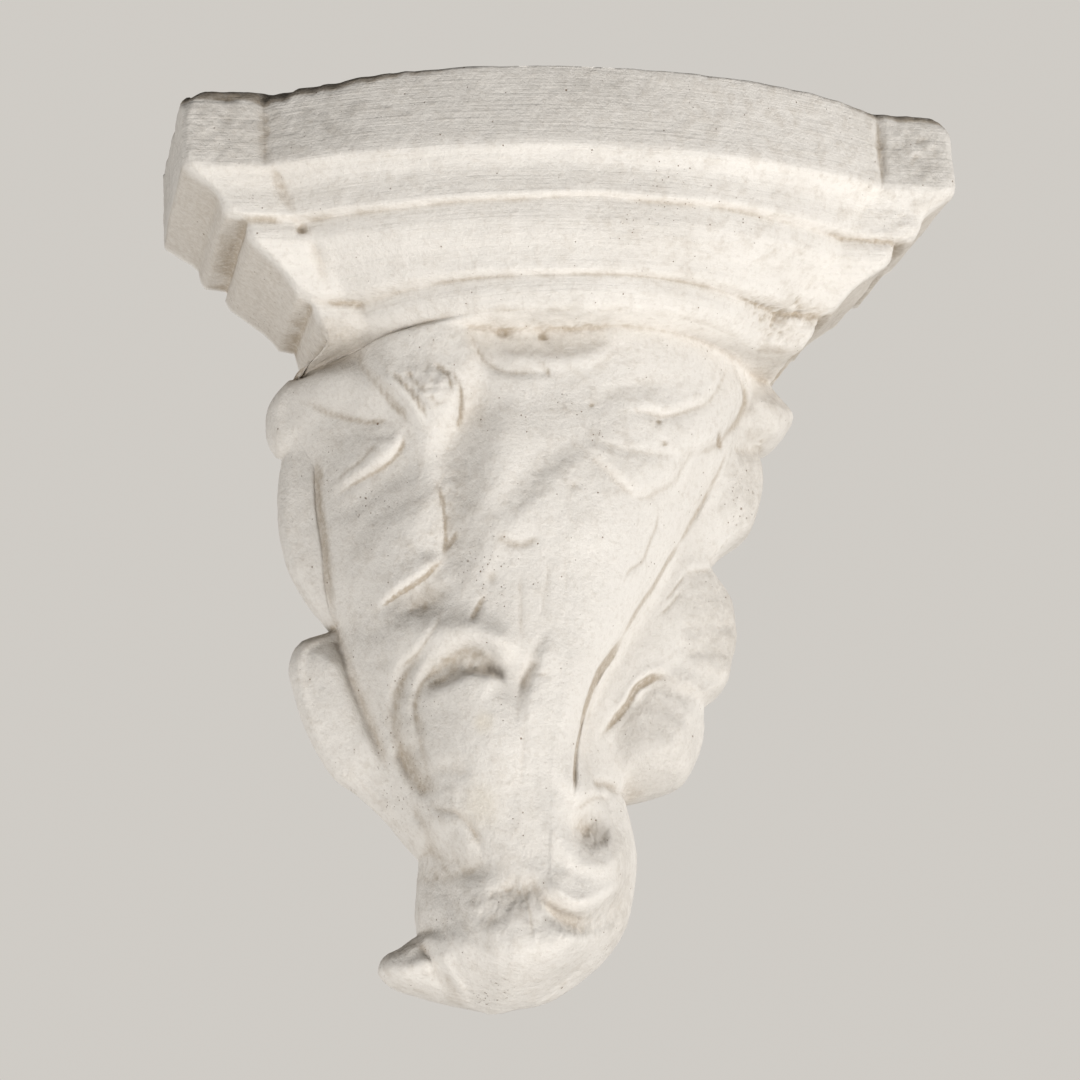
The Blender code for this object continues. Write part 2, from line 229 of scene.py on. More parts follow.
LEAF_CARVING = (
    # Broken tongue that hangs over the upper left
    Swell((-54, 5), (17, 17), 8),
    Facet(3.5, 12, ((-70, 10), (-40, 10), (-36, -8), (-37, -22), (-44, -36), (-52, -42), (-60, -32), (-68, -20))),
    fold(1.5, 3, 0.3, (-71, 6), (-71, -4), (-70.5, -12), (-66, -20), (-60, -28), (-52, -40)),
    Swell((-51, -24), (10, 8), 3.5, -45),
    groove(1.3, 1.6, 0, (-68, -16), (-60, -26), (-52, -38)),
    groove(1, -1.2, 0.4, (-65, -16), (-58, -25), (-51, -36)),
    groove(1.2, 1.4, 0, (-63, -15), (-56, -24), (-49, -34)),
    fold(1.2, 1.6, 0.6, (-43, -39), (-42, -32), (-43, -25), (-48, -17)),
    cut(1, -1.3, 0.5, (-60, -17), (-57, -22), (-52, -28)),
    cut(0.9, -1.2, 0.6, (-51, -16), (-46, -21), (-44, -28)),
    groove(0.9, -0.8, 0.4, (-54, -27), (-49, -30), (-44, -29)),
    # Cuts and folds along the left and right ribs
    cut(1.5, -1.6, 0.65, (-84.5, -31), (-84, -41), (-83.5, -54), (-82, -66), (-80.5, -81), (-77, -98)),
    groove(2, -2, 0.5, (-80, -84), (-78, -94), (-74, -113), (-69, -127), (-65, -139), (-61, -152)),
    groove(1.2, -0.6, 0.12, (-72, -100), (-69, -118), (-63, -138)),
    groove(1.4, -0.6, 0.08, (-76, -72), (-74, -90), (-70, -104)),
    groove(4.5, -1.6, 0.15, (-82, -78), (-78, -94), (-74, -113), (-69, -127), (-64, -142)),
    fold(3, 1.5, 0, (-84, -25), (-83, -59), (-79, -85), (-72, -115), (-63, -145)),
    groove(1, -1, 0.5, (60, -32), (54, -44), (43, -63), (37, -72)),
    cut(0.9, -1.3, 0.6, (42, -63), (37, -72), (33, -78), (28, -86), (22, -94), (17, -102), (13, -109)),
    cut(1.4, -3, 0.9, (18, -101), (13, -109), (10, -113), (6, -118), (2, -126), (-1, -135), (-3, -142)),
    cut(0.9, -1.8, 0.7, (1, -130), (-3, -143), (-5, -151), (-6, -163)),
    groove(0.8, -0.9, 0.3, (9, -114), (6, -120), (3, -130), (0, -137)),
    fold(2.5, 1.6, 0, (-6, -162), (-1, -135), (10, -113), (22, -94), (33, -78), (42, -61), (52, -46)),
    cut(1.2, -2.2, 0.9, (5, -141), (12, -133), (19, -125), (22, -120), (25, -118), (29, -116), (37, -117)),
    groove(1.2, 0.7, 0, (9, -133), (17, -124), (22, -117), (29, -113), (37, -114)),
    fold(2.2, 1.5, 0, (6, -140), (19, -125), (29, -116), (38, -118), (52, -122)),
    # Upper left leaflet
    Swell((-84, -2), (12, 5.5), -5, -10, 0.3),
    groove(6.5, 4.2, 0, (-103, -16), (-90, -10), (-80, -13), (-70, -19), (-58, -30)),
    fold(1.5, 1.3, 0.6, (-95, -13), (-86, -18), (-80, -23), (-75, -26), (-69, -29), (-65, -30), (-59, -37)),
    Swell((-69, -38), (11, 7), 2, 25),
    fold(1.6, 2.4, 0.5, (-82, -53), (-75, -48), (-69, -46), (-63, -43), (-60.5, -40), (-60, -34)),
    groove(1, -0.6, 0.5, (-65, -37), (-69, -40), (-72, -43), (-76, -45), (-81, -48)),
    groove(5, -2, 0.12, (-82, -60), (-72, -56), (-65, -52), (-53, -44)),
    # Second leaflet on the left
    Swell((-62, -70), (9, 13), 2.6, -30),
    groove(4, -1.2, 0.1, (-76, -80), (-73, -69), (-67, -63), (-60, -60), (-50, -57)),
    fold(1.2, 1.2, 0.7, (-48, -81), (-47, -75), (-47, -69), (-48, -61), (-51, -50)),
    fold(2, 2.8, 0, (-70, -95), (-62, -90), (-56, -87), (-51, -84), (-46, -78)),
    cut(0.8, -2.4, 0.75, (-68, -94), (-62, -90.5), (-56, -87.5), (-51, -84.5), (-47, -80)),
    groove(0.8, -0.8, 0.6, (-42, -71), (-46, -78)),
    # Third leaflet on the left
    Swell((-52, -93), (7, 5), -3, 30, 0.45),
    Swell((-60, -104), (8, 6), 2.6, 40),
    fold(1.2, 1, 0.5, (-63, -119), (-60, -113), (-56, -110), (-53, -106), (-50, -101), (-50, -93)),
    groove(3, -1.5, 0.1, (-68, -95), (-66, -105), (-65, -116)),
    # Valley between the leaflets and the middle
    groove(7, -3.5, 0.04, (-33, -14), (-39, -32), (-43, -48), (-44, -63), (-45, -77), (-41, -92)),
    groove(9, 2.5, 0, (-25, -26), (-30, -48), (-33, -62), (-37, -86)),
    Swell((-32, -89), (1.8, 2.2), -0.8, 0, 0.4),
    groove(0.9, -1, 0.7, (-34, -94), (-37, -99), (-40, -104)),
    # Hollow and folds under the neck
    Swell((-14, -5), (22, 8), -3.2, 3, 0.08),
    Swell((-26, -5), (2.4, 2), -1.6, 0, 0.6),
    Swell((-13, -7), (2, 1.6), -1.3, 0, 0.5),
    Swell((-4, -3), (2.4, 2), -1.3, 0, 0.4),
    fold(1.5, 1.1, 0.25, (-8, -22), (-17, -22), (-24, -22), (-30, -20), (-35, -16), (-38, -10), (-42, 1)),
    groove(0.8, -0.9, 0.4, (-16, -15), (-13, -19), (-12, -23)),
    Swell((13, -4), (6, 5), 1.6),
    groove(3, 1.2, 0, (-33, -12), (-14, -17), (2, -15), (12, -9)),
    # Folds of the upper right
    Swell((34, -10), (22, 12), 3, -12),
    groove(3, -0.6, 0.15, (1, -37), (8, -28), (12, -26), (19, -24), (34, -22)),
    fold(1.8, 1.8, 0.35, (8, -34), (21, -32), (28, -32), (37, -28.5), (45, -24), (49, -19), (53, -13), (60, 0)),
    Swell((46, -30), (18, 9), 2, 35),
    fold(1.9, 3, 0.45, (36, -46), (44, -40), (51, -35), (57, -28), (62, -21), (64, -16), (62, -10), (55, -4)),
    fold(1.8, 1.8, 0.35, (13, -62), (20, -60), (26, -56), (32, -52), (35, -47), (38, -43), (46, -38)),
    fold(1.8, 1.2, 0.2, (-3, -44), (6, -52), (12, -57), (18, -62)),
    groove(1.6, -0.6, 0.25, (-4, -42), (13, -47), (24, -47), (40, -45)),
    Swell((53, -35), (2.4, 1.6), -2.2, -30, 1),
    groove(3, -1.6, 0.1, (52, -38), (44, -48), (37, -55), (27, -65)),
    groove(0.9, -0.6, 0.5, (26, -59), (26.5, -67), (23, -76), (21, -81), (15, -86), (12, -94)),
    Swell((76, -19), (9, 8.5), 5),
    groove(1.6, -1.4, 0.4, (65, -6), (67, -16), (63, -24), (55, -33)),
    Swell((26, -36), (1.4, 1), -0.8, 0, 0.8),
    Swell((28, -43), (1.2, 1), -0.7, 0, 0.9),
    Swell((2, -32), (1, 0.9), -0.7, 0, 0.9),
    # Crown of the leaf
    Swell((-5, -68), (17, 17), 2.2, -20),
    fold(4.5, 1.3, 0.14, (5, -45), (-5, -50), (-13, -54.5), (-20, -62), (-27, -69), (-33, -78), (-39, -92)),
    groove(4, -0.5, 0.1, (-2, -49), (-13, -53.5), (-21, -61.5), (-27, -69), (-31, -77)),
    groove(1.5, -0.6, 0.55, (-32, -74), (-27, -78), (-22, -79), (-16, -76)),
    Swell((-5, -60), (1.6, 1.4), -0.7, 0, 0.35),
    groove(0.8, -0.6, 0.3, (-23, -84), (-23, -96), (-23, -104), (-22, -114)),
    groove(0.7, -0.5, 0.3, (-13, -82), (-15, -96), (-16, -103)),
    groove(0.7, -0.4, 0.3, (-8, -81), (-8, -96)),
    groove(0.8, -0.5, 0.2, (-22, -128), (-23, -142), (-24, -162)),
    # Rolled petal and its arch
    groove(5, 3, 0, (-60, -114), (-49, -105), (-40, -106), (-32, -110), (-22, -117)),
    groove(4.2, -5, 0.2, (-56, -122), (-48, -117.5), (-40, -114.5), (-34, -117), (-28, -124)),
    fold(1.6, 2, 0.3, (-54, -117), (-46, -112), (-40, -110), (-35, -112), (-27, -119)),
    Swell((-38, -140), (14, 20), 4.5, 10),
    fold(1.6, 2.4, 0, (-27, -125), (-32, -121), (-38, -119.5), (-44, -121), (-50, -124), (-54.5, -129)),
    groove(2.2, -2.6, 0.45, (-51, -108), (-58, -116), (-61, -124), (-61, -132), (-59, -140), (-56, -148), (-51, -159)),
    groove(1.2, 0.7, 0, (-50, -111), (-57, -119), (-58.5, -126), (-58, -134), (-54, -146)),
    groove(1.3, -1.8, 0.45, (-45, -115), (-53, -120), (-55.5, -126), (-54.5, -135), (-52.5, -146), (-48, -160)),
    groove(3.2, -3, 0.6, (-60, -136), (-56, -147), (-49, -160)),
    fold(1, 1, 0.4, (-55, -124), (-51, -120), (-48, -119), (-44, -117)),
    fold(1.8, 1.5, 0.2, (-13, -106), (-17.5, -116), (-20.5, -123), (-22.5, -131), (-25, -143)),
    groove(1.6, -1.5, 0.45, (-17, -116), (-20.5, -121), (-23, -128)),
    Swell((-26, -122), (7, 8), -2, 0, 0.12),
    groove(0.8, -0.7, 0.4, (-20, -121), (-13, -123)),
    # Swelling under the petal
    Swell((-45, -170), (5.5, 11), 4.2, 25),
    groove(1.4, -1.6, 0.4, (-57, -153), (-54, -162), (-51, -168), (-47, -176), (-42, -181)),
    groove(1.3, -1.4, 0.4, (-52, -156), (-49, -162), (-43, -165), (-38, -172), (-35, -181)),
    groove(2.6, -1.4, 0.25, (-55, -151), (-47, -150), (-39, -154)),
    groove(0.9, 0.8, 0, (-50, -159), (-46, -157), (-43, -161)),
    # Curled foot, its recess, lip and tip
    Swell((-1, -168.8), (7, 7.5), -3.5, 0, 0.15),
    Swell((-0.5, -171), (5.5, 4.4), -3, 0, 0.35),
    fold(1.6, 1.4, 0.2, (8, -168), (6, -175), (0, -178.5), (-5.5, -176), (-7.5, -168)),
    fold(1.4, 1.6, 0.4, (-7, -166), (2, -159.5), (11, -157.5)),
    groove(3.6, 2, 0, (-20, -146), (-15, -164), (-12, -177), (-5, -184), (3, -184.5), (11, -179), (15, -163)),
    groove(3, 0.9, 0, (-25, -156), (-21, -176), (-13, -187), (3, -192)),
    fold(
        2.2, 4.4, 0.1, (-25, -183), (-18, -190), (-14, -195), (-9, -198), (-3, -198), (4, -195), (12, -190), (22, -172)
    ),
    groove(3.2, -2.6, 0, (-18, -193), (-14, -198), (-8, -202), (-2, -203), (5, -200.5), (12, -195), (23, -178)),
    fold(4.2, 6, 0, (24, -183), (15, -198), (5, -205), (-3, -207.5), (-9, -206), (-17, -199)),
    Swell((-27, -192.5), (8, 4.5), -2.6, 8, 0.3),
    Swell((-33.5, -200), (5, 3.6), -1.6, 20, 0.2),
    groove(0.9, 1.1, 0, (-25, -186), (-23, -194), (-22, -204), (-20, -212)),
    groove(0.8, -0.8, 0.5, (-24, -187), (-23, -194), (-22, -202), (-21.5, -210)),
    Swell((-48, -198), (7, 12), 2.6, 10),
    groove(2.4, -1.7, 0.15, (-46, -180), (-44, -192), (-40, -204), (-33, -214)),
    Swell((-20, -214), (19, 8), 2.6),
    groove(2.6, -1.8, 0.3, (-57, -177), (-50, -182), (-42, -184), (-33, -181)),
    Swell((-41, -181), (9, 4), -2.8, -25, 0.25),
    fold(1.6, 3.4, 0.25, (-54, -196), (-51, -206), (-48, -212), (-43, -220), (-36, -232)),
    groove(3.5, 2.4, 0, (-73, -214), (-60, -214.5), (-47, -211)),
    Facet(-2.8, 8, ((-72, -212), (-58, -212), (-48, -209), (-50, -198), (-60, -198), (-72, -206))),
    groove(0.9, -1.6, 0.45, (-47, -214), (-42.5, -220), (-36, -226.5)),
    groove(2.4, -0.8, 0.12, (-20, -218), (-8, -216), (1, -209), (11, -196)),
    Swell((-16, -222), (1.6, 1.3), -1.2, 0, 0.3),
    # Flutes of the right lobes and small notches
    groove(2.2, -0.8, 0.1, (27, -117), (40, -122), (53, -130)),
    groove(2.2, -0.9, 0.1, (24, -121), (37, -129), (50, -140)),
    groove(2.2, -0.8, 0.1, (22, -129), (33, -137), (43, -149)),
    groove(2.6, -0.7, 0.05, (35, -105), (48, -106), (64, -102)),
    groove(2.6, -0.7, 0.05, (34, -111), (48, -114), (60, -117)),
    groove(2.6, -0.7, 0.05, (36, -98), (50, -97), (64, -92)),
    groove(0.7, -0.6, 0.5, (30, -96), (36, -90), (40, -85)),
    groove(0.6, -0.5, 0.5, (32, -91), (38, -84), (42, -79)),
    fold(1.4, 1, 0.3, (38, -80), (44, -77), (51, -75), (58, -70), (66, -64)),
    groove(2.2, -1.8, 0.2, (80, -29), (70, -32), (60, -34)),
    groove(2.4, -1.8, 0.3, (-77, -91), (-84, -97), (-93, -101)),
    groove(2, -1.6, 0.5, (0, -157), (8, -154.5), (16, -156)),
)

# Breaks, dents, dirt and stains, on the shelf and the leaf; their brown and grey are also painted shade in recesses,
# under overhangs and on faces turned from the light
PATCHES = (
    Patch((-52, -23), (8, 5.5), turn=-45, rough=0.9, brown_dirt_and_shade=0.12),
    # Painted shadow, with dirt: brown and grey in the recess at the upper left
    Patch((-82, -2), (13, 6), rough=0.5, brown_dirt_and_shade=0.5, grey_smudge_and_shade=0.4),
    Patch((-86, -98), (7, 3), turn=25, rough=0.3, brown_dirt_and_shade=0.5),
    # Partly painted shade: grey in the hollow under the neck
    Patch((-12, -6), (24, 7), turn=3, rough=0.4, grey_smudge_and_shade=0.35),
    Patch((72, 4), (13, 5), turn=-12, rough=1.3, brown_dirt_and_shade=0.3),
    Patch((-94.5, 28), (1.7, 1.5), dent=1.8, brown_dirt_and_shade=0.9),
    Patch((-94, 28), (4.5, 3.0), turn=-20, rough=0.5, brown_dirt_and_shade=0.25),
    # Painted shade in the creases where the bow meets the blocks, over real dents
    Patch((-107.5, 61), (2.0, 15), dent=1.3, brown_dirt_and_shade=0.12, grey_smudge_and_shade=0.5),
    Patch((107.5, 61), (1.6, 15), dent=1.2, brown_dirt_and_shade=0.1, grey_smudge_and_shade=0.4),
    Patch((-101, 39), (2.0, 9), turn=28, dent=0.7, brown_dirt_and_shade=0.3),
    Patch((-88, 18), (1.8, 8), turn=30, dent=0.8, brown_dirt_and_shade=0.3),
    # Painted shade: grey on the left block's face
    Patch((-100, 61), (9, 10), grey_smudge_and_shade=0.5, rough=0.3),
    Patch((-120, 71), (4, 1.5), dent=1.0, brown_dirt_and_shade=0.5, grey_smudge_and_shade=0.6),
    Patch((84, 8), (12, 4), turn=-18, rough=0.9, brown_dirt_and_shade=0.35),
    Patch((-76, 8), (4, 2), turn=-20, dent=0.3, rough=0.5, grey_smudge_and_shade=0.5),
    Patch((-89, -5), (3, 1.5), turn=-30, dent=1.6, brown_dirt_and_shade=0.5),
    Patch((44, -119), (9, 4), turn=-15, rough=0.9, brown_dirt_and_shade=0.25),
    Patch((-29, -195), (14, 9), turn=15, rough=0.5, brown_dirt_and_shade=0.2, grey_smudge_and_shade=0.2),
    # Painted shadow: the next four darken the trough under the foot's lip, the hollow at its neck, the up-facing top
    # of the tip and the hollow under the petal's roll
    Patch((0, -202.5), (17, 4), turn=18, rough=0.4, brown_dirt_and_shade=0.15, grey_smudge_and_shade=1.0),
    Patch((-48, -181), (10, 4), rough=0.4, brown_dirt_and_shade=0.25, grey_smudge_and_shade=0.15),
    Patch((-60, -205), (10, 4), turn=20, rough=0.5, brown_dirt_and_shade=0.45, grey_smudge_and_shade=0.3),
    Patch((-41, -115.5), (11, 4.5), rough=0.5, brown_dirt_and_shade=0.1, grey_smudge_and_shade=1.0),
    Patch((-56, -136), (4, 22), turn=10, rough=0.3, brown_dirt_and_shade=0.2, grey_smudge_and_shade=0.3),
    # Partly painted shade: grey and brown along the diagonal hollow of the crown
    Patch((-17, -59), (17, 5), turn=44, rough=0.35, brown_dirt_and_shade=0.12, grey_smudge_and_shade=0.2),
    Patch((-43, -60), (6, 32), turn=4, rough=0.35, brown_dirt_and_shade=0.12, grey_smudge_and_shade=0.1),
    Patch((-57, -97), (9, 5), turn=30, rough=0.5, brown_dirt_and_shade=0.2, grey_smudge_and_shade=0.3),
    Patch((-75, -38), (10, 12), rough=0.3, brown_dirt_and_shade=0.1, grey_smudge_and_shade=0.15),
    Patch((0, -172), (6, 7), rough=0.6, brown_dirt_and_shade=0.15),
    Patch((-36, -137), (3, 3.5), yellow=0.8),
    Patch((-36, -163), (5, 7), turn=20, yellow=0.45),
    Patch((-34, -88), (8, 10), turn=30, holes=0.9),
    Patch((65, -52), (7, 10), holes=0.7),
    Patch((-30, -222), (7, 3), turn=-10, holes=1.0),
    Patch((-70, -57), (10, 5), turn=-20, holes=0.7),
    # Painted shade: grey on the left and middle of the shelf's front, which turn from the light
    Patch((-88, 60), (13, 10), rough=0.2, brown_dirt_and_shade=0.1, grey_smudge_and_shade=0.7),
    Patch((-45, 64), (32, 9), turn=3, grey_smudge_and_shade=0.25),
    Patch((-8, 68), (36, 6), grey_smudge_and_shade=0.45),
    # Painted shade: grey and brown on both returns
    Patch((122, 61), (14, 15), rough=0.5, brown_dirt_and_shade=0.12, grey_smudge_and_shade=0.7),
    Patch((-121, 60), (15, 17), rough=0.5, brown_dirt_and_shade=0.2, grey_smudge_and_shade=0.5),
    # Painted shade: grey and brown on the right lobes and the right of the foot, which face away from the light
    Patch((70, -46), (14, 24), rough=0.15, brown_dirt_and_shade=0.28, grey_smudge_and_shade=0.4),
    Patch((54, -98), (16, 22), turn=10, rough=0.25, brown_dirt_and_shade=0.3, grey_smudge_and_shade=0.5),
    Patch((40, -138), (14, 14), rough=0.25, brown_dirt_and_shade=0.22, grey_smudge_and_shade=0.3),
    Patch((84, -14), (10, 12), rough=0.2, brown_dirt_and_shade=0.25, grey_smudge_and_shade=0.2),
    Patch((14, -190), (8, 26), turn=8, rough=0.15, brown_dirt_and_shade=0.24, grey_smudge_and_shade=0.35),
    Patch((110, 33), (14, 8), turn=40, rough=0.5),
)

# Top and bottom of the leaf, and the rows of the leaf, of its seam and its overlap with the shelf, and of the fascia
NECK_LEVEL = -4.0
FOOT_LEVEL = -226.0
LEAF_ROWS = 238
SEAM_ROWS = 7
OVERLAP_ROWS = 6
FASCIA_ROWS = 18
# Greatest gap between two rows of the moulding
LINE_GAP = 1.1
# Rows of the flat top and of its worn edge, as shares of the way
TOP_SHARES = (0.0, 0.4, 0.7, 0.86, 0.94, 0.98)
WORN_SHARES = (0.0, 0.35, 0.7, 1.0)

# The leaf past its ribs: how steeply its body falls, how far its flange does, and the fillet between them
BODY_FALL = 60
FLANGE_FALL = 7
FLANGE_REACH = 1.2
RIB_FILLET = 9.0
# The leaf near its outline: how far it falls and over what width, its round edge, and its least depth inside
EDGE_FALL = 7.0
EDGE_FALL_REACH = 10.0
EDGE_ROUND = 3.5
LEAST_DEPTH = 7
# The rounder edge of the curled foot and the lowest right lobe; each start has the width it comes in over
FOOT_ROUND = 14.0
BALL_SIDE = 12
BALL_DROP = (150, 40)
LOBE_SIDE = (12, 10)
LOBE_DROP = (115, 20)
LOBE_END = (154, 6)
# How far the raised side of a fold reaches
FOLD_REACH = 9.0

# Times that the shelf, its corners and the leaf are softened, and how many columns a corner takes
SHELF_SOFTENING = 3
CORNER_SOFTENING = 26
LEAF_SOFTENING = 1
CORNER_COLUMNS = 2.5
# Unevenness of the cast from broad to fine: height, scale and a shift of its own
LUMPS = ((1, 0.016, (0, 0, 0)), (0.45, 0.06, (9, 2, 5)), (0.22, 0.19, (3, 7, 1)), (0.13, 0.42, (5, 1, 8)))
# The share of the lumps that the flat top keeps, and the scale of the crumbs in a rough patch
TOP_LUMPS = 0.3
CRUMB_SCALE = 0.33
# Softenings that show up a crease and a hollow, and the depth of each that counts as full
CREASE_SOFTENING = 4
HOLLOW_SOFTENING = 50
CREASE_DEPTH = 0.3
CREASE_START = 0.15
HOLLOW_DEPTH = 2.4

# Columns of the sheet: round each end of the shelf, along each block's face, round the bow or the leaf's body,
# and round the leaf's rim
RETURN_COLUMNS = 28
BLOCK_COLUMNS = 22
BOW_COLUMNS = 160
RIM_COLUMNS = 8
# Least shares of the leaf's width: outside a rib, from an edge to the rib across, and from a rib to the crown
RIB_ROOM = 0.02
BODY_ROOM = 0.6
CROWN_ROOM = 0.1
# Points of the finished mesh that are closer than this become one
MERGE_GAP = 0.02 * MM


def colour_property(name, description, default):
    """A colour that a user can change."""
    return FloatVectorProperty(name=name, description=description, default=default, subtype="COLOR", min=0, max=1)


class BracketSizes(bpy.types.PropertyGroup):
    """Sizes of the cast."""

    width: FloatProperty(name="Width", description="Shelf from end to end", default=HIGH.x - LOW.x, unit="LENGTH")
    depth: FloatProperty(name="Depth", description="Wall to the middle of the bow", default=-LOW.y, unit="LENGTH")
    rise: FloatProperty(name="Rise", description="Fixing point to the shelf's top", default=HIGH.z, unit="LENGTH")
    block_depth: FloatProperty(name="Block depth", description="Wall to a block's face", default=0.078, unit="LENGTH")
    bow_width: FloatProperty(name="Bow width", description="Bow from corner to corner", default=0.215, unit="LENGTH")
    fascia: FloatProperty(name="Fascia", description="Height of the flat top band", default=0.0275, unit="LENGTH")
    wear: FloatProperty(name="Wear", description="How worn the shelf's top edge is", default=1.0, min=0, max=2)
    lumps: FloatProperty(name="Lumps", description="Unevenness of the hand-made cast", default=0.0007, unit="LENGTH")


class PlasterLook(bpy.types.PropertyGroup):
    """Colours and surface of the plaster."""

    plaster: colour_property("Plaster", "Clean plaster", (0.785, 0.74, 0.68))
    shade: colour_property("Shade", "Handled, darker plaster", (0.66, 0.613, 0.552))
    # The crevice colour is dirt in the creases and also paints shade into creases and hollows
    crevice: colour_property("Crevice", "Dirt in the creases", (0.36, 0.285, 0.2))
    pinhole: colour_property("Pinhole", "Dirt in the holes", (0.22, 0.14, 0.08))
    stain: colour_property("Stain", "Yellowed patches", (0.72, 0.58, 0.33))
    # The smudge colour paints brushing marks and also painted shade where the grey mark is set
    smudge_and_shade: colour_property("Smudge", "Grey finger marks", (0.43, 0.405, 0.365))
    roughness: FloatProperty(name="Roughness", description="How matt the plaster is", default=0.85, subtype="FACTOR")


class StageLook(bpy.types.PropertyGroup):
    """The plain stage round the bracket."""

    floor: colour_property("Floor", "Pale floor", (0.78, 0.77, 0.75))
    drop: FloatProperty(name="Drop", description="Fixing point down to the floor", default=1.1, unit="LENGTH")
    light: FloatProperty(name="Light", description="Strength of the main light", default=12.8, unit="POWER")


def smooth_read(at, places, values):
    """The smooth curve through values at increasing places, read at other places."""
    slopes = np.gradient(values, places)
    at = np.clip(at, places[0], places[-1])
    i = np.clip(np.searchsorted(places, at) - 1, 0, len(places) - 2)
    gap = places[i + 1] - places[i]
    t = (at - places[i]) / gap
    start = values[i] * (1 + 2 * t) * (1 - t) ** 2 + slopes[i] * gap * t * (1 - t) ** 2
    end = values[i + 1] * (3 - 2 * t) * t**2 - slopes[i + 1] * gap * t**2 * (1 - t)
    return start + end


def smooth_path(points, steps=5):
    """Points (x, z) joined by a smooth curve, with this many steps between two points."""
    points = np.array(points, float)
    lengths = np.hypot(*np.diff(points, axis=0).T)
    places = np.concatenate([[0.0], np.cumsum(lengths)])
    at = np.interp(np.arange((len(points) - 1) * steps + 1) / steps, np.arange(len(points)), places)
    return np.stack([smooth_read(at, places, points[:, k]) for k in (0, 1)], axis=1)


def edge_line(lobes):
    """One edge of the leaf from the top down, with a corner between two lobes."""
    return np.concatenate([smooth_path(lobe) for lobe in lobes])


def edge_at(line, z):
    """The x of an edge at each level z."""
    falling = np.minimum.accumulate(line[:, 1])
    return np.interp(-z, -falling, line[:, 0])


def nearest_on(x, z, line):
    """Distance of each point to a line, the side it lies on (positive to the left) and its place along it."""
    best = np.full(x.shape, np.inf)
    side = np.zeros(x.shape)
    along = np.zeros(x.shape)
    spans = len(line) - 1
    for n in range(spans):
        (ax, az), (bx, bz) = line[n], line[n + 1]
        dx, dz = bx - ax, bz - az
        t = np.clip(((x - ax) * dx + (z - az) * dz) / (dx * dx + dz * dz + 1e-9), 0, 1)
        off_x, off_z = x - ax - t * dx, z - az - t * dz
        distance = np.hypot(off_x, off_z)
        nearer = distance < best
        best = np.where(nearer, distance, best)
        side = np.where(nearer, np.sign(off_z * dx - off_x * dz), side)
        along = np.where(nearer, (n + t) / spans, along)
    return best, side, along


def ease(t):
    """A smooth step from 0 to 1."""
    t = np.clip(t, 0, 1)
    return t * t * (3 - 2 * t)


def begins(at, start, width):
    """A smooth step: 0 up to its start and 1 from a width further on."""
    return ease((at - start) / width)


def stroke_at(stroke, x, z):
    """What a stroke adds to the depth at each point, and its dirt and painted shade there. A fold is high on its left
    side.
    """
    distance, side, along = nearest_on(x, z, smooth_path(stroke.points))
    fade = ease(np.minimum(along, 1 - along) * 4)
    share = distance / (stroke.width * (0.5 + 0.5 * fade))
    if stroke.kind == "groove":
        shape = line = np.exp(-(share**2))
    elif stroke.kind == "cut":
        shape = line = np.exp(-(share**4))
    else:
        signed = share * side
        lip = np.exp(-((np.maximum(distance * side, 0) / FOLD_REACH) ** 2))
        shape = ease((signed + 1) / 2) * lip - 0.35 * np.exp(-(((signed + 1.2) / 0.8) ** 2))
        line = np.exp(-(((signed + 0.9) / 0.6) ** 2))
    return stroke.rise * shape * fade, stroke.dirt_and_shade * line * fade


def away_from(form, x, z):
    """How far each point is from the centre of a turned ellipse: 1 on its edge."""
    turn = math.radians(form.turn)
    dx, dz = x - form.centre[0], z - form.centre[1]
    along = dx * math.cos(turn) + dz * math.sin(turn)
    across = dz * math.cos(turn) - dx * math.sin(turn)
    return np.hypot(along / form.reach[0], across / form.reach[1])


def swell_at(form, x, z):
    """What a swelling adds to the depth at each point, and its dirt and painted shade there."""
    shape = np.exp(-(away_from(form, x, z) ** 2.5))
    return form.rise * shape, form.dirt_and_shade * shape


def facet_at(facet, x, z):
    """What a raised or sunken region adds to the depth at each point; it has no dirt."""
    line = smooth_path((*facet.points, facet.points[0]), 3)
    crossings = np.zeros(x.shape, int)
    for (ax, az), (bx, bz) in zip(line[:-1], line[1:]):
        spans = (az > z) != (bz > z)
        crossings += spans & (x < ax + (bx - ax) * (z - az) / (bz - az + 1e-9))
    inside = np.where(crossings % 2 == 1, 1, -1)
    distance = nearest_on(x, z, line)[0] * inside
    return facet.rise * ease(0.5 + distance / facet.edge), 0.0


FORM_AT = {Stroke: stroke_at, Swell: swell_at, Facet: facet_at}


def reach_of(form):
    """The box (x, z) that a form of carving changes."""
    if isinstance(form, Swell):
        spread = 2.2 * max(form.reach)
        points = np.array([form.centre])
    else:
        spread = 2.4 * FOLD_REACH if isinstance(form, Stroke) and form.kind == "fold" else 3 * form[1] + 2
        points = np.array(form.points)
    return points.min(axis=0) - spread, points.max(axis=0) + spread


def carved(depth, x, z):
    """The depth with every form of the leaf's carving added, and the dirt and painted shade left in it."""
    depth, dirt_and_shade = depth.copy(), np.zeros(depth.shape)
    for form in LEAF_CARVING:
        low, high = reach_of(form)
        near = (x > low[0]) & (x < high[0]) & (z > low[1]) & (z < high[1])
        rise, soil_and_shade = FORM_AT[type(form)](form, x[near], z[near])
        depth[near] += rise
        dirt_and_shade[near] = np.maximum(dirt_and_shade[near], soil_and_shade)
    return depth, dirt_and_shade


def station_at(z):
    """The six numbers of a station, read smoothly at each level."""
    levels = np.array(STATIONS[::-1])
    return [smooth_read(z, levels[:, 0], column) for column in levels.T[1:]]


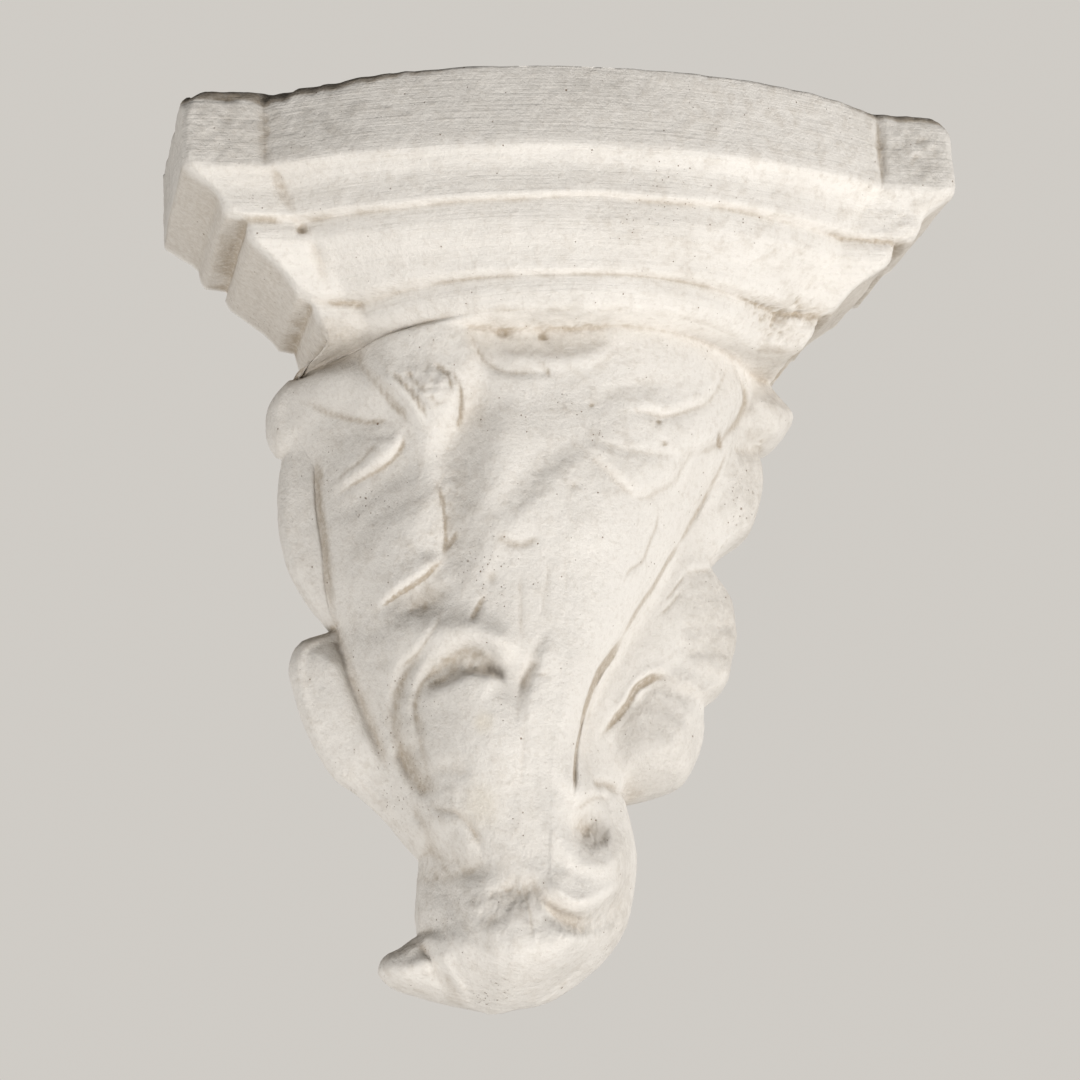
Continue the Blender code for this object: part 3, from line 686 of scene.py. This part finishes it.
def leaf_depth(x, z):
    """How far the leaf stands off the wall at each point, and the dirt and painted shade in its carving."""
    left, crown, right, at_left, at_crown, at_right = station_at(z)
    across = np.where(x < crown, (crown - x) / (crown - left), (x - crown) / (right - crown))
    rib = np.where(x < crown, at_left, at_right)
    arch = rib + (at_crown - rib) * (1 - np.clip(across, 0, 1) ** 2.2) ** 0.85
    body = np.where(across > 1, rib - BODY_FALL * (across - 1), arch)
    flange = rib - FLANGE_FALL * np.clip(across - 1, -1, FLANGE_REACH)
    share = np.clip(0.5 + 0.5 * ((body - flange) / RIB_FILLET), 0, 1)
    depth = flange + (body - flange) * share + RIB_FILLET * share * (1 - share)
    depth, dirt_and_shade = carved(depth, x, z)
    outline = np.concatenate([edge_line(LEFT_LOBES), edge_line(RIGHT_LOBES)[::-1]])
    on_ball = begins(x, edge_at(np.array(BALL_EDGE, float), z), BALL_SIDE) * begins(-z, *BALL_DROP)
    on_lobe = begins(x, *LOBE_SIDE) * begins(-z, *LOBE_DROP) * (1 - begins(-z, *LOBE_END))
    rounding = EDGE_ROUND + (FOOT_ROUND - EDGE_ROUND) * np.maximum(on_ball, on_lobe)
    from_edge = nearest_on(x, z, outline)[0]
    depth = depth - EDGE_FALL * np.exp(-((from_edge / EDGE_FALL_REACH) ** 2))
    inward = np.clip(from_edge / rounding, 0, 1)
    return np.maximum(depth, LEAST_DEPTH) * np.sqrt(1 - (1 - inward) ** 2), dirt_and_shade


def leaf_row(z):
    """The x of each column of the sheet at one level of the leaf."""
    left_edge, right_edge = edge_at(edge_line(LEFT_LOBES), z), edge_at(edge_line(RIGHT_LOBES), z)
    left, crown, right = station_at(z)[:3]
    width = right_edge - left_edge
    turn = 1 - np.cos(np.linspace(0, math.pi / 2, RIM_COLUMNS + 1))
    # The ribs and the crown keep their order and a little room where the leaf is narrow
    left = np.clip(left, left_edge + RIB_ROOM * width, right_edge - BODY_ROOM * width)
    right = np.clip(right, left_edge + BODY_ROOM * width, right_edge - RIB_ROOM * width)
    left_rim = min(EDGE_ROUND, (left - left_edge) / 2)
    right_rim = min(EDGE_ROUND, (right_edge - right) / 2)
    crown = np.clip(crown, left + CROWN_ROOM * width, right - CROWN_ROOM * width)
    flange = RETURN_COLUMNS + BLOCK_COLUMNS - RIM_COLUMNS
    counts = (flange, BOW_COLUMNS // 2, BOW_COLUMNS // 2, flange)
    knots = (left_edge + left_rim, left, crown, right, right_edge - right_rim)
    spans = [np.linspace(*ends, count + 1)[:-1] for *ends, count in zip(knots, knots[1:], counts)]
    return np.concatenate([left_edge + left_rim * turn[:-1], *spans, right_edge - right_rim * turn[::-1]])


def leaf_sheet():
    """The leaf's rows of points (x, depth, z) from the neck down to the foot, and the dirt and painted shade at each.
    """
    levels = np.linspace(NECK_LEVEL, FOOT_LEVEL, LEAF_ROWS)
    x = np.array([leaf_row(z) for z in levels])
    z = np.repeat(levels[:, None], x.shape[1], axis=1)
    depth, dirt_and_shade = leaf_depth(x, z)
    depth[:, [0, -1]] = 0
    depth[-1] = 0
    return np.stack([x, depth, z], axis=-1), dirt_and_shade


def plan_row(half, bow, near, far):
    """The shelf's outline (x, depth) from the wall on the left round to the wall on the right."""
    rise = far - near
    radius = (bow**2 + rise**2) / (2 * rise)
    turn = math.asin(min(1.0, bow / radius))
    angles = np.linspace(-turn, turn, BOW_COLUMNS + 1)
    arc = np.stack([radius * np.sin(angles), far - radius + radius * np.cos(angles)], axis=1)
    back = 1 - (1 - np.linspace(0, 1, RETURN_COLUMNS + 1)[:-1]) ** 1.3
    side = np.stack([np.full(RETURN_COLUMNS, -half), near * back], axis=1)
    face = np.linspace(0, 1, BLOCK_COLUMNS + 1)[:-1]
    block = np.stack([-half + (half - bow) * face, np.full(BLOCK_COLUMNS, near)], axis=1)
    left = np.concatenate([side, block])
    return np.concatenate([left, arc, (left * (-1, 1))[::-1]])


def moulding_lines():
    """The lines of the moulding, close together, each with its drop below the fascia and its insets."""
    lines = [np.array(MOULDING[0])]
    for start, end in zip(np.array(MOULDING[:-1]), np.array(MOULDING[1:])):
        steps = max(2, round(math.hypot(end[0] - start[0], end[1] - start[1]) / LINE_GAP))
        lines += [start + (end - start) * n / steps for n in range(1, steps + 1)]
    return lines


def noise_along(plan, scale, level):
    """Soft noise, -1 to 1, at each point of a plan."""
    return np.array([noise.noise(Vector((x * scale, y * scale, level))) for x, y in plan])


def worn_edge(outer, inner, near, wear):
    """The plan of the flat top inside its worn edge, and how far that edge has dropped at each point."""
    ragged = [noise.fractal(Vector((x * RAGGED_SCALE, y * RAGGED_SCALE, 3.1)), 0.7, 2.1, 5) for x, y in outer]
    ragged = np.array(ragged)
    gone = np.interp(outer[:, 0] / outer[-1, 0], np.array(TOP_WEAR_AT) / TOP_WEAR_AT[-1], TOP_WEAR) * wear
    gone = gone * (RETURN_WEAR + (1 - RETURN_WEAR) * ease(outer[:, 1] / near))
    drop = np.maximum(LEAST_WEAR, gone * (1 + RAGGED_SHARE * ragged) + RAGGED_RISE * ragged)
    edge = outer + (inner - outer) * (drop * 0.9 / TOP_INSET)[:, None]
    edge[[0, -1]] = outer[[0, -1]]
    return edge, drop


def shelf_sheet(sizes):
    """The shelf's rows of points (x, depth, z) from the wall round the top to the neck, and the dirt and painted shade
    at each.
    """
    half, bow = sizes.width / MM / 2, sizes.bow_width / MM / 2
    near, far = sizes.block_depth / MM, sizes.depth / MM
    top = sizes.rise / MM
    fascia = sizes.fascia / MM
    outer = plan_row(half, bow, near, far)
    inner = plan_row(half - TOP_INSET, bow - TOP_INSET * BOW_INSET_SHARE, near - TOP_INSET, far - TOP_INSET)
    edge, drop = worn_edge(outer, inner, near, sizes.wear)
    wall = np.column_stack([np.linspace(-half, half, len(edge)), np.zeros(len(edge))])
    rows = [np.column_stack([wall + (edge - wall) * share, np.full(len(edge), top)]) for share in TOP_SHARES]
    for share in WORN_SHARES:
        rows.append(np.column_stack([edge + (outer - edge) * share, top - drop * share**1.3]))
    for n in range(1, FASCIA_ROWS):
        rows.append(np.column_stack([outer, top - drop - (fascia - drop) * n / FASCIA_ROWS]))
    # Painted shade: the worn top edge faces up, away from the light, and is painted darker the more it is worn
    clean, worn = 0 * drop, WORN_EDGE_SHADE * ease(drop / FULL_SHADE_WEAR)
    dirt_and_shade = [clean] * len(TOP_SHARES) + [worn] * len(WORN_SHARES) + [clean] * (FASCIA_ROWS - 1)
    places = np.arange(len(outer))
    # Painted shade on both returns of the shelf, which stand in shade
    on_return = begins(RETURN_COLUMNS - 1 - np.minimum(places, places[::-1]), 0, 4)
    for line in moulding_lines():
        plan = plan_row(half - line[1], bow - line[2], near - line[3], far - line[4])
        wander = noise_along(plan, 0.03, line[0] * 0.04 + 7.0)
        rows.append(np.column_stack([plan, top - fascia - line[0] + wander * LINE_WANDER * ease(line[0] / 4)]))
        patchy = noise_along(plan, 0.09, line[0] * 0.02)
        # Brown along the crevices, stronger towards the ends of the shelf: partly dirt, partly painted shade where the
        # soffits lie in shadow
        soil_and_shade = sum(amount * np.exp(-(((line[0] - at) / half_height) ** 2)) for at, half_height, amount in CREVICES)
        on_ends = 1 + 0.5 * ease((np.abs(plan[:, 0]) - bow + line[2]) / 10)
        dirt_and_shade.append(soil_and_shade * on_ends * np.clip(0.75 + patchy * 1.6, 0.1, 1) + RETURN_SHADE * on_return)
    return np.array(rows), np.array(dirt_and_shade)


def softened(sheet, times, share=None):
    """The sheet with its sharp edges rounded off, by a share for each column; its rim stays where it is."""
    sheet = sheet.copy()
    share = np.ones(sheet.shape[1]) if share is None else share
    for _ in range(times):
        around = (sheet[:-2, 1:-1] + sheet[2:, 1:-1] + sheet[1:-1, :-2] + sheet[1:-1, 2:]) / 4
        sheet[1:-1, 1:-1] += 0.5 * share[1:-1, None] * (around - sheet[1:-1, 1:-1])
    return sheet


def sheet_normals(sheet):
    """Which way the sheet faces at each point, towards the front."""
    down = np.gradient(sheet, axis=0)
    over = np.gradient(sheet, axis=1)
    normals = np.cross(over, down)
    return normals / (np.linalg.norm(normals, axis=-1, keepdims=True) + 1e-9)


def unevenness(sheet):
    """Lumps left by the hand that worked the mould, from broad to fine, about 1 high."""
    made = [
        sum(height * noise.noise(Vector(point) * scale + Vector(shift)) for height, scale, shift in LUMPS)
        for point in sheet.reshape(-1, 3)
    ]
    return np.array(made).reshape(sheet.shape[:2])


def patched(sheet):
    """How far the marked places sink or rise at each point, and the four kinds of mark they leave; the brown and grey
    marks are partly painted shade.
    """
    x, z = sheet[..., 0], sheet[..., 2]
    rise = np.zeros(x.shape)
    marks = {name: np.zeros(x.shape) for name in ("brown_dirt_and_shade", "grey_smudge_and_shade", "yellow", "holes")}
    for patch in PATCHES:
        shape = np.exp(-(away_from(patch, x, z) ** 3)) * (z < z.max() - 0.4)
        rise -= patch.dent * shape
        near = shape > 0.01
        if patch.rough:
            crumbs = [noise.fractal(Vector(point) * CRUMB_SCALE, 0.6, 2.1, 3) for point in sheet[near]]
            rise[near] += patch.rough * shape[near] * np.array(crumbs)
        for name, values in marks.items():
            values[near] = np.maximum(values[near], getattr(patch, name) * shape[near])
    return rise, marks


def cast_sheet(sizes):
    """The whole front of the cast as one sheet of points whose rim lies on the wall, and its marks."""
    (shelf, shelf_dirt_and_shade), (leaf, leaf_dirt_and_shade) = shelf_sheet(sizes), leaf_sheet()
    seam = [shelf[-1] + (leaf[0] - shelf[-1]) * n / SEAM_ROWS for n in range(1, SEAM_ROWS)]
    # The shelf is softened with the leaf's first rows below it, and keeps one of them
    shelf = np.concatenate([shelf, seam, leaf[:OVERLAP_ROWS]])
    shelf = softened(shelf, SHELF_SOFTENING)[: 1 - OVERLAP_ROWS]
    places = np.arange(shelf.shape[1])
    corner = np.minimum(abs(places - RETURN_COLUMNS), abs(places - places[-1] + RETURN_COLUMNS))
    shelf = softened(shelf, CORNER_SOFTENING, np.exp(-((corner / CORNER_COLUMNS) ** 2)))
    leaf = softened(leaf, LEAF_SOFTENING)
    sheet = np.concatenate([shelf, leaf[1:]])
    lumps = unevenness(sheet) * sizes.lumps / MM
    rise, marks = patched(sheet)
    lumps = lumps + rise
    lumps[: len(TOP_SHARES)] *= TOP_LUMPS
    sheet = sheet + sheet_normals(sheet) * lumps[..., None]
    sheet[[0, -1], :, 1] = 0
    sheet[:, [0, -1], 1] = 0
    sheet[..., 1] = np.maximum(sheet[..., 1], 0)
    # The brown mark carries the dirt and painted shade of the shelf and the carving
    dirt_and_shade = np.concatenate([shelf_dirt_and_shade, np.zeros((SEAM_ROWS - 1, sheet.shape[1])), leaf_dirt_and_shade])
    marks["brown_dirt_and_shade"] = np.maximum(marks["brown_dirt_and_shade"], dirt_and_shade)
    # Crease and hollow measures, which the plaster uses to paint shade into creases and hollows
    marks["crease"], marks["hollow"] = hollowness(sheet)
    for values in marks.values():
        values[[0, -1]] = 0
        values[:, [0, -1]] = 0
    return sheet, marks


def hollowness(sheet):
    """How deep each point lies in a crease and in a broad hollow, from 0 to 1."""
    near, far = softened(sheet, CREASE_SOFTENING), softened(sheet, HOLLOW_SOFTENING)
    normals = sheet_normals(far)
    narrow = ((near - sheet) * normals).sum(axis=-1)
    broad = ((far - sheet) * normals).sum(axis=-1)
    return np.clip(narrow / CREASE_DEPTH - CREASE_START, 0, 1), np.clip(broad / HOLLOW_DEPTH, 0, 1)


def make_cast(sizes):
    """The cast: the sheet drawn on a grid, closed by the flat back."""
    sheet, marks = cast_sheet(sizes)
    rows, columns = sheet.shape[:2]
    bm = bmesh.new()
    bmesh.ops.create_grid(bm, x_segments=columns - 1, y_segments=rows - 1, size=1)
    layers = {name: bm.verts.layers.float.new(name) for name in marks}
    for vert in bm.verts:
        column = round((vert.co.x + 1) / 2 * (columns - 1))
        row = round((1 - vert.co.y) / 2 * (rows - 1))
        x, depth, z = sheet[row, column]
        vert.co = (x * MM, -depth * MM, z * MM)
        for name, layer in layers.items():
            vert[layer] = marks[name][row, column]
    for face in bm.faces:
        face.smooth = True
    bmesh.ops.remove_doubles(bm, verts=bm.verts, dist=MERGE_GAP)
    rim = [edge for edge in bm.edges if edge.is_boundary]
    for edge in rim:
        edge.smooth = False
    back = bmesh.ops.contextual_create(bm, geom=rim)["faces"]
    bmesh.ops.triangulate(bm, faces=back)
    bmesh.ops.recalc_face_normals(bm, faces=bm.faces)
    return mesh_object("bracket_cast", bm)


def mesh_object(name, bm):
    """A new object in the scene from a finished bmesh."""
    mesh = bpy.data.meshes.new(name)
    bm.to_mesh(mesh)
    bm.free()
    made = bpy.data.objects.new(name, mesh)
    bpy.context.scene.collection.objects.link(made)
    return made


class Signal:
    """A number that varies over a surface: Python arithmetic on it adds Math nodes."""

    def __init__(self, tree, socket):
        self.tree = tree
        self.socket = socket

    def math(self, operation, *others):
        """This signal and others through one Math node."""
        node = self.tree.nodes.new("ShaderNodeMath")
        node.operation = operation
        for place, value in enumerate((self, *others)):
            plug(self.tree, node.inputs[place], value)
        return Signal(self.tree, node.outputs[0])

    def __add__(self, other):
        return self.math("ADD", other)

    __radd__ = __add__

    def __mul__(self, other):
        return self.math("MULTIPLY", other)

    __rmul__ = __mul__

    def __sub__(self, other):
        return self.math("SUBTRACT", other)

    def __rsub__(self, other):
        return self.math("MULTIPLY", -1.0).math("ADD", other)

    def between(self, low, high):
        """0 below low, 1 above high and smooth in between."""
        node = self.tree.nodes.new("ShaderNodeMapRange")
        node.interpolation_type = "SMOOTHSTEP"
        plug(self.tree, node.inputs["Value"], self)
        node.inputs["From Min"].default_value = low
        node.inputs["From Max"].default_value = high
        return Signal(self.tree, node.outputs["Result"])


def plug(tree, socket, value):
    """Sets a socket to a value, or links it to a signal or another socket."""
    if isinstance(value, Signal):
        tree.links.new(value.socket, socket)
    elif isinstance(value, bpy.types.NodeSocket):
        tree.links.new(value, socket)
    else:
        socket.default_value = value


class Finish:
    """A material being made: its nodes come from one method."""

    def __init__(self, name):
        self.material = bpy.data.materials.new(name)
        self.material.use_nodes = True
        self.tree = self.material.node_tree
        self.shader = self.tree.nodes["Principled BSDF"]

    def node(self, kind, settings=None, **sockets):
        """A node of a kind, its settings set first and then its sockets, named with _ for a space."""
        made = self.tree.nodes.new(kind)
        for name, value in (settings or {}).items():
            setattr(made, name, value)
        for name, value in sockets.items():
            plug(self.tree, made.inputs[name.replace("_", " ")], value)
        return made

    def signal(self, node, output):
        """One output of a node as a signal."""
        return Signal(self.tree, node.outputs[output])

    def attribute(self, name):
        """A number stored on the mesh."""
        return self.signal(self.node("ShaderNodeAttribute", {"attribute_name": name}), "Fac")

    def stretched(self, place, scale):
        """Places scaled differently along each axis."""
        return self.node("ShaderNodeMapping", Vector=place, Scale=scale).outputs["Vector"]

    def noise(self, place, scale, detail=3.0, rough=0.5):
        """Soft noise, about 0.3 to 0.7."""
        made = self.node("ShaderNodeTexNoise", None, Vector=place, Scale=scale, Detail=detail, Roughness=rough)
        return self.signal(made, "Fac")

    def blend(self, amount, first, second):
        """Two colours mixed."""
        node = self.tree.nodes.new("ShaderNodeMix")
        node.data_type = "RGBA"
        plug(self.tree, node.inputs["Factor"], amount)
        plug(self.tree, node.inputs[6], first)
        plug(self.tree, node.inputs[7], second)
        return node.outputs[2]

    def dots(self, place, scale, size, share):
        """Small round holes scattered at random: 1 in a hole."""
        cells = self.node("ShaderNodeTexVoronoi", None, Vector=place, Scale=scale, Randomness=1.0)
        parts = self.node("ShaderNodeSeparateColor", None, Color=cells.outputs["Color"])
        chosen = self.signal(parts, "Red").between(1 - share, 1 - share + 0.02)
        reach = self.signal(parts, "Green") * size * 0.7 + size * 0.3
        hole = (reach - self.signal(cells, "Distance")).between(0.0, size * 0.35)
        return hole * chosen


def opaque(colour):
    """A colour property as the four numbers that a socket takes."""
    return (*colour, 1.0)


def plaster_material(look):
    """Dry cast plaster: mottled, brushed, pricked with casting holes, and brown in its creases and hollows, partly
    dirt and partly painted shade.
    """
    finish = Finish("plaster")
    place = finish.node("ShaderNodeTexCoord").outputs["Object"]
    crease, hollow, brown_dirt_and_shade, grey_smudge_and_shade, yellow, pricked = (
        finish.attribute(name) for name in ("crease", "hollow", "brown_dirt_and_shade", "grey_smudge_and_shade", "yellow", "holes")
    )
    height = finish.signal(finish.node("ShaderNodeSeparateXYZ", None, Vector=place), "Z")
    on_shelf = height.between(-0.006, 0.002)

    mottle = finish.noise(place, 30.0, 5.0, 0.6)
    cloud = finish.noise(place, 8.0, 2.0)
    grain = finish.noise(place, 1100.0, 3.0, 0.6)
    handled = finish.noise(place, 190.0, 4.0, 0.62)
    speck = finish.noise(place, 560.0, 3.0, 0.7)
    level_brush = finish.noise(finish.stretched(place, (22.0, 22.0, 900.0)), 1.0, 3.0, 0.65)
    down_brush = finish.noise(finish.stretched(place, (420.0, 420.0, 60.0)), 1.0, 3.0, 0.6)
    brush = level_brush * on_shelf + (down_brush * 0.5 + 0.25) * (1 - on_shelf)

    pinholes = finish.dots(place, 640.0, 0.22, 0.07)
    clustered = (finish.dots(place, 760.0, 0.30, 0.6) + finish.dots(place, 430.0, 0.26, 0.4)) * pricked
    scattered = finish.dots(place, 900.0, 0.26, 0.5) * finish.noise(place, 26.0, 2.0).between(0.56, 0.68)
    pits = finish.dots(place, 210.0, 0.11, 0.07)
    holes = (pinholes + clustered + scattered + pits).between(0.0, 0.9)

    tan = speck.between(0.48, 0.7) * 0.15 + handled.between(0.46, 0.7) * cloud.between(0.3, 0.65) * 0.2
    # Painted shade: the crease and hollow measures darken creases and broad hollows with the crevice colour, on top of
    # the brown, which is partly dirt and partly painted shade
    dirt_and_shade = brown_dirt_and_shade + crease * cloud.between(0.25, 0.7) * 0.5 + hollow * mottle * 0.6
    layers = (
        (mottle.between(0.42, 0.72) * 0.4, look.shade),
        (tan, look.crevice),
        ((1 - brush).between(0.5, 0.8) * 0.12, look.smudge_and_shade),
        # Painted shade, with some real smudges: the grey mark darkens recesses, overhangs, the left of the shelf, the
        # returns and the right lobes
        (grey_smudge_and_shade * handled.between(0.3, 0.62) * 0.55, look.smudge_and_shade),
        (dirt_and_shade.between(0.0, 1.0) * (speck.between(0.25, 0.6) * 0.35 + 0.45), look.crevice),
        (yellow * cloud.between(0.1, 0.9) * 0.5, look.stain),
        (holes * 0.8, look.pinhole),
    )
    colour = opaque(look.plaster)
    for amount, over in layers:
        colour = finish.blend(amount, colour, opaque(over))
    plug(finish.tree, finish.shader.inputs["Base Color"], colour)
    rough = (mottle - 0.5) * 0.12 + look.roughness
    plug(finish.tree, finish.shader.inputs["Roughness"], rough)
    finish.shader.inputs["Specular IOR Level"].default_value = 0.3

    relief = brush * 0.5 + grain * 0.3 + speck * 0.4 + handled * 1.1 + mottle * 0.9 - holes * 0.9
    bump = finish.node("ShaderNodeBump", None, Strength=0.7, Distance=0.0008, Height=relief)
    plug(finish.tree, finish.shader.inputs["Normal"], bump.outputs["Normal"])
    return finish.material


def floor_material(look):
    """Plain pale painted board."""
    finish = Finish("pale_floor")
    place = finish.node("ShaderNodeTexCoord").outputs["Object"]
    cloud = finish.noise(place, 1.5, 2.0)
    pale = opaque(look.floor)
    darker = tuple(c * 0.94 for c in look.floor) + (1.0,)
    plug(finish.tree, finish.shader.inputs["Base Color"], finish.blend(cloud, pale, darker))
    finish.shader.inputs["Roughness"].default_value = 0.9
    return finish.material


# The camera looks up at the bracket from the left of its middle
CAMERA_TURN = 11.7
CAMERA_RISE = 15.8
CAMERA_ROLL = 2.6
CAMERA_DISTANCE = 1.023
CAMERA_TARGET = (-0.0159, -0.060, -0.0768)
CAMERA_LENS = 102.2
CAMERA_CLIP = (0.05, 20)
LIGHT_DISTANCE = 1.25
LIGHT_SIZE = 0.55
# Each light: name, bearing in degrees to the right of the front and up, and its share of the main light
LIGHTS = (("main", (40, -15), 1.0), ("right", (80, -20), 0.31), ("low_left", (-65, -31), 0.8))
# The surroundings: their colour, their glow, and how much brighter they are behind the bracket
ROOM_COLOUR = (0.98, 0.94, 0.88, 1)
ROOM_GLOW = 0.04
BACKDROP_GLOW = 0.6
# Middle to edge of the square floor
FLOOR_REACH = 4


def camera_axes():
    """The directions that the camera looks, and that its picture has as right and up."""
    turn, rise, roll = (math.radians(a) for a in (CAMERA_TURN, CAMERA_RISE, CAMERA_ROLL))
    look = Vector((math.sin(turn) * math.cos(rise), math.cos(turn) * math.cos(rise), math.sin(rise)))
    level = Vector((math.cos(turn), -math.sin(turn), 0))
    up = level.cross(look)
    return look, level * math.cos(roll) - up * math.sin(roll), level * math.sin(roll) + up * math.cos(roll)


def add_camera():
    """The camera, at the place that the picture was taken from."""
    look, right, up = camera_axes()
    data = bpy.data.cameras.new("camera")
    data.lens = CAMERA_LENS
    data.clip_start, data.clip_end = CAMERA_CLIP
    camera = bpy.data.objects.new("camera", data)
    place = Vector(CAMERA_TARGET) - look * CAMERA_DISTANCE
    turned = Matrix((right, up, -look)).transposed().to_4x4()
    camera.matrix_world = Matrix.Translation(place) @ turned
    bpy.context.scene.collection.objects.link(camera)
    bpy.context.scene.camera = camera


def add_light(name, bearing, power):
    """A soft square light that faces the bracket from a bearing."""
    data = bpy.data.lights.new(name, "AREA")
    data.size = LIGHT_SIZE
    data.energy = power
    light = bpy.data.objects.new(name, data)
    turn, rise = (math.radians(a) for a in bearing)
    way = Vector((math.sin(turn) * math.cos(rise), -math.cos(turn) * math.cos(rise), math.sin(rise)))
    light.location = Vector(CAMERA_TARGET) + way * LIGHT_DISTANCE
    light.rotation_euler = way.to_track_quat("Z", "Y").to_euler()
    light.visible_camera = False
    bpy.context.scene.collection.objects.link(light)


def add_world():
    """Pale, even surroundings."""
    world = bpy.data.worlds.new("pale_room")
    world.use_nodes = True
    tree = world.node_tree
    backdrop = tree.nodes["Background"]
    backdrop.inputs["Color"].default_value = ROOM_COLOUR
    place = tree.nodes.new("ShaderNodeTexCoord")
    parts = tree.nodes.new("ShaderNodeSeparateXYZ")
    tree.links.new(place.outputs["Generated"], parts.inputs["Vector"])
    behind = Signal(tree, parts.outputs["Y"]).between(0.3, 0.8)
    plug(tree, backdrop.inputs["Strength"], behind * BACKDROP_GLOW + ROOM_GLOW)
    bpy.context.scene.world = world
    bpy.context.scene.view_settings.view_transform = "Standard"


class BRACKET_OT_cast(bpy.types.Operator):
    """Cast the plaster bracket"""

    bl_idname = "bracket.cast"
    bl_label = "Cast Bracket"

    def execute(self, context):
        cast = make_cast(context.scene.bracket_sizes)
        cast.data.materials.append(plaster_material(context.scene.plaster_look))
        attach(cast, "root")
        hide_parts("bracket")
        return {"FINISHED"}


class BRACKET_OT_stage(bpy.types.Operator):
    """Set up the floor, lights and camera"""

    bl_idname = "bracket.stage"
    bl_label = "Set Stage"

    def execute(self, context):
        look = context.scene.stage_look
        bm = bmesh.new()
        bmesh.ops.create_grid(bm, x_segments=1, y_segments=1, size=FLOOR_REACH)
        bmesh.ops.translate(bm, verts=bm.verts, vec=(0, 0, -look.drop))
        floor = mesh_object("floor", bm)
        floor.data.materials.append(floor_material(look))
        for name, bearing, share in LIGHTS:
            add_light(name, bearing, look.light * share)
        add_world()
        add_camera()
        return {"FINISHED"}


class BRACKET_PT_panel(bpy.types.Panel):
    """Buttons that make the bracket and its stage"""

    bl_idname = "BRACKET_PT_panel"
    bl_label = "Plaster Bracket"
    bl_space_type = "VIEW_3D"
    bl_region_type = "UI"
    bl_category = "Bracket"

    def draw(self, context):
        for group in (context.scene.bracket_sizes, context.scene.plaster_look, context.scene.stage_look):
            box = self.layout.box()
            for name in group.bl_rna.properties.keys():
                if name not in ("rna_type", "name"):
                    box.prop(group, name)
        self.layout.operator(BRACKET_OT_cast.bl_idname)
        self.layout.operator(BRACKET_OT_stage.bl_idname)


CLASSES = (BracketSizes, PlasterLook, StageLook, BRACKET_OT_cast, BRACKET_OT_stage, BRACKET_PT_panel)


def register():
    """Adds the properties, operators and panel."""
    for made in CLASSES:
        bpy.utils.register_class(made)
    bpy.types.Scene.bracket_sizes = PointerProperty(type=BracketSizes)
    bpy.types.Scene.plaster_look = PointerProperty(type=PlasterLook)
    bpy.types.Scene.stage_look = PointerProperty(type=StageLook)


def unregister():
    """Takes them away again."""
    del bpy.types.Scene.stage_look
    del bpy.types.Scene.plaster_look
    del bpy.types.Scene.bracket_sizes
    for made in reversed(CLASSES):
        bpy.utils.unregister_class(made)


def main():
    """Makes the bracket and its stage."""
    register()
    bpy.ops.bracket.cast()
    bpy.ops.bracket.stage()


if __name__ == "__main__":
    main()
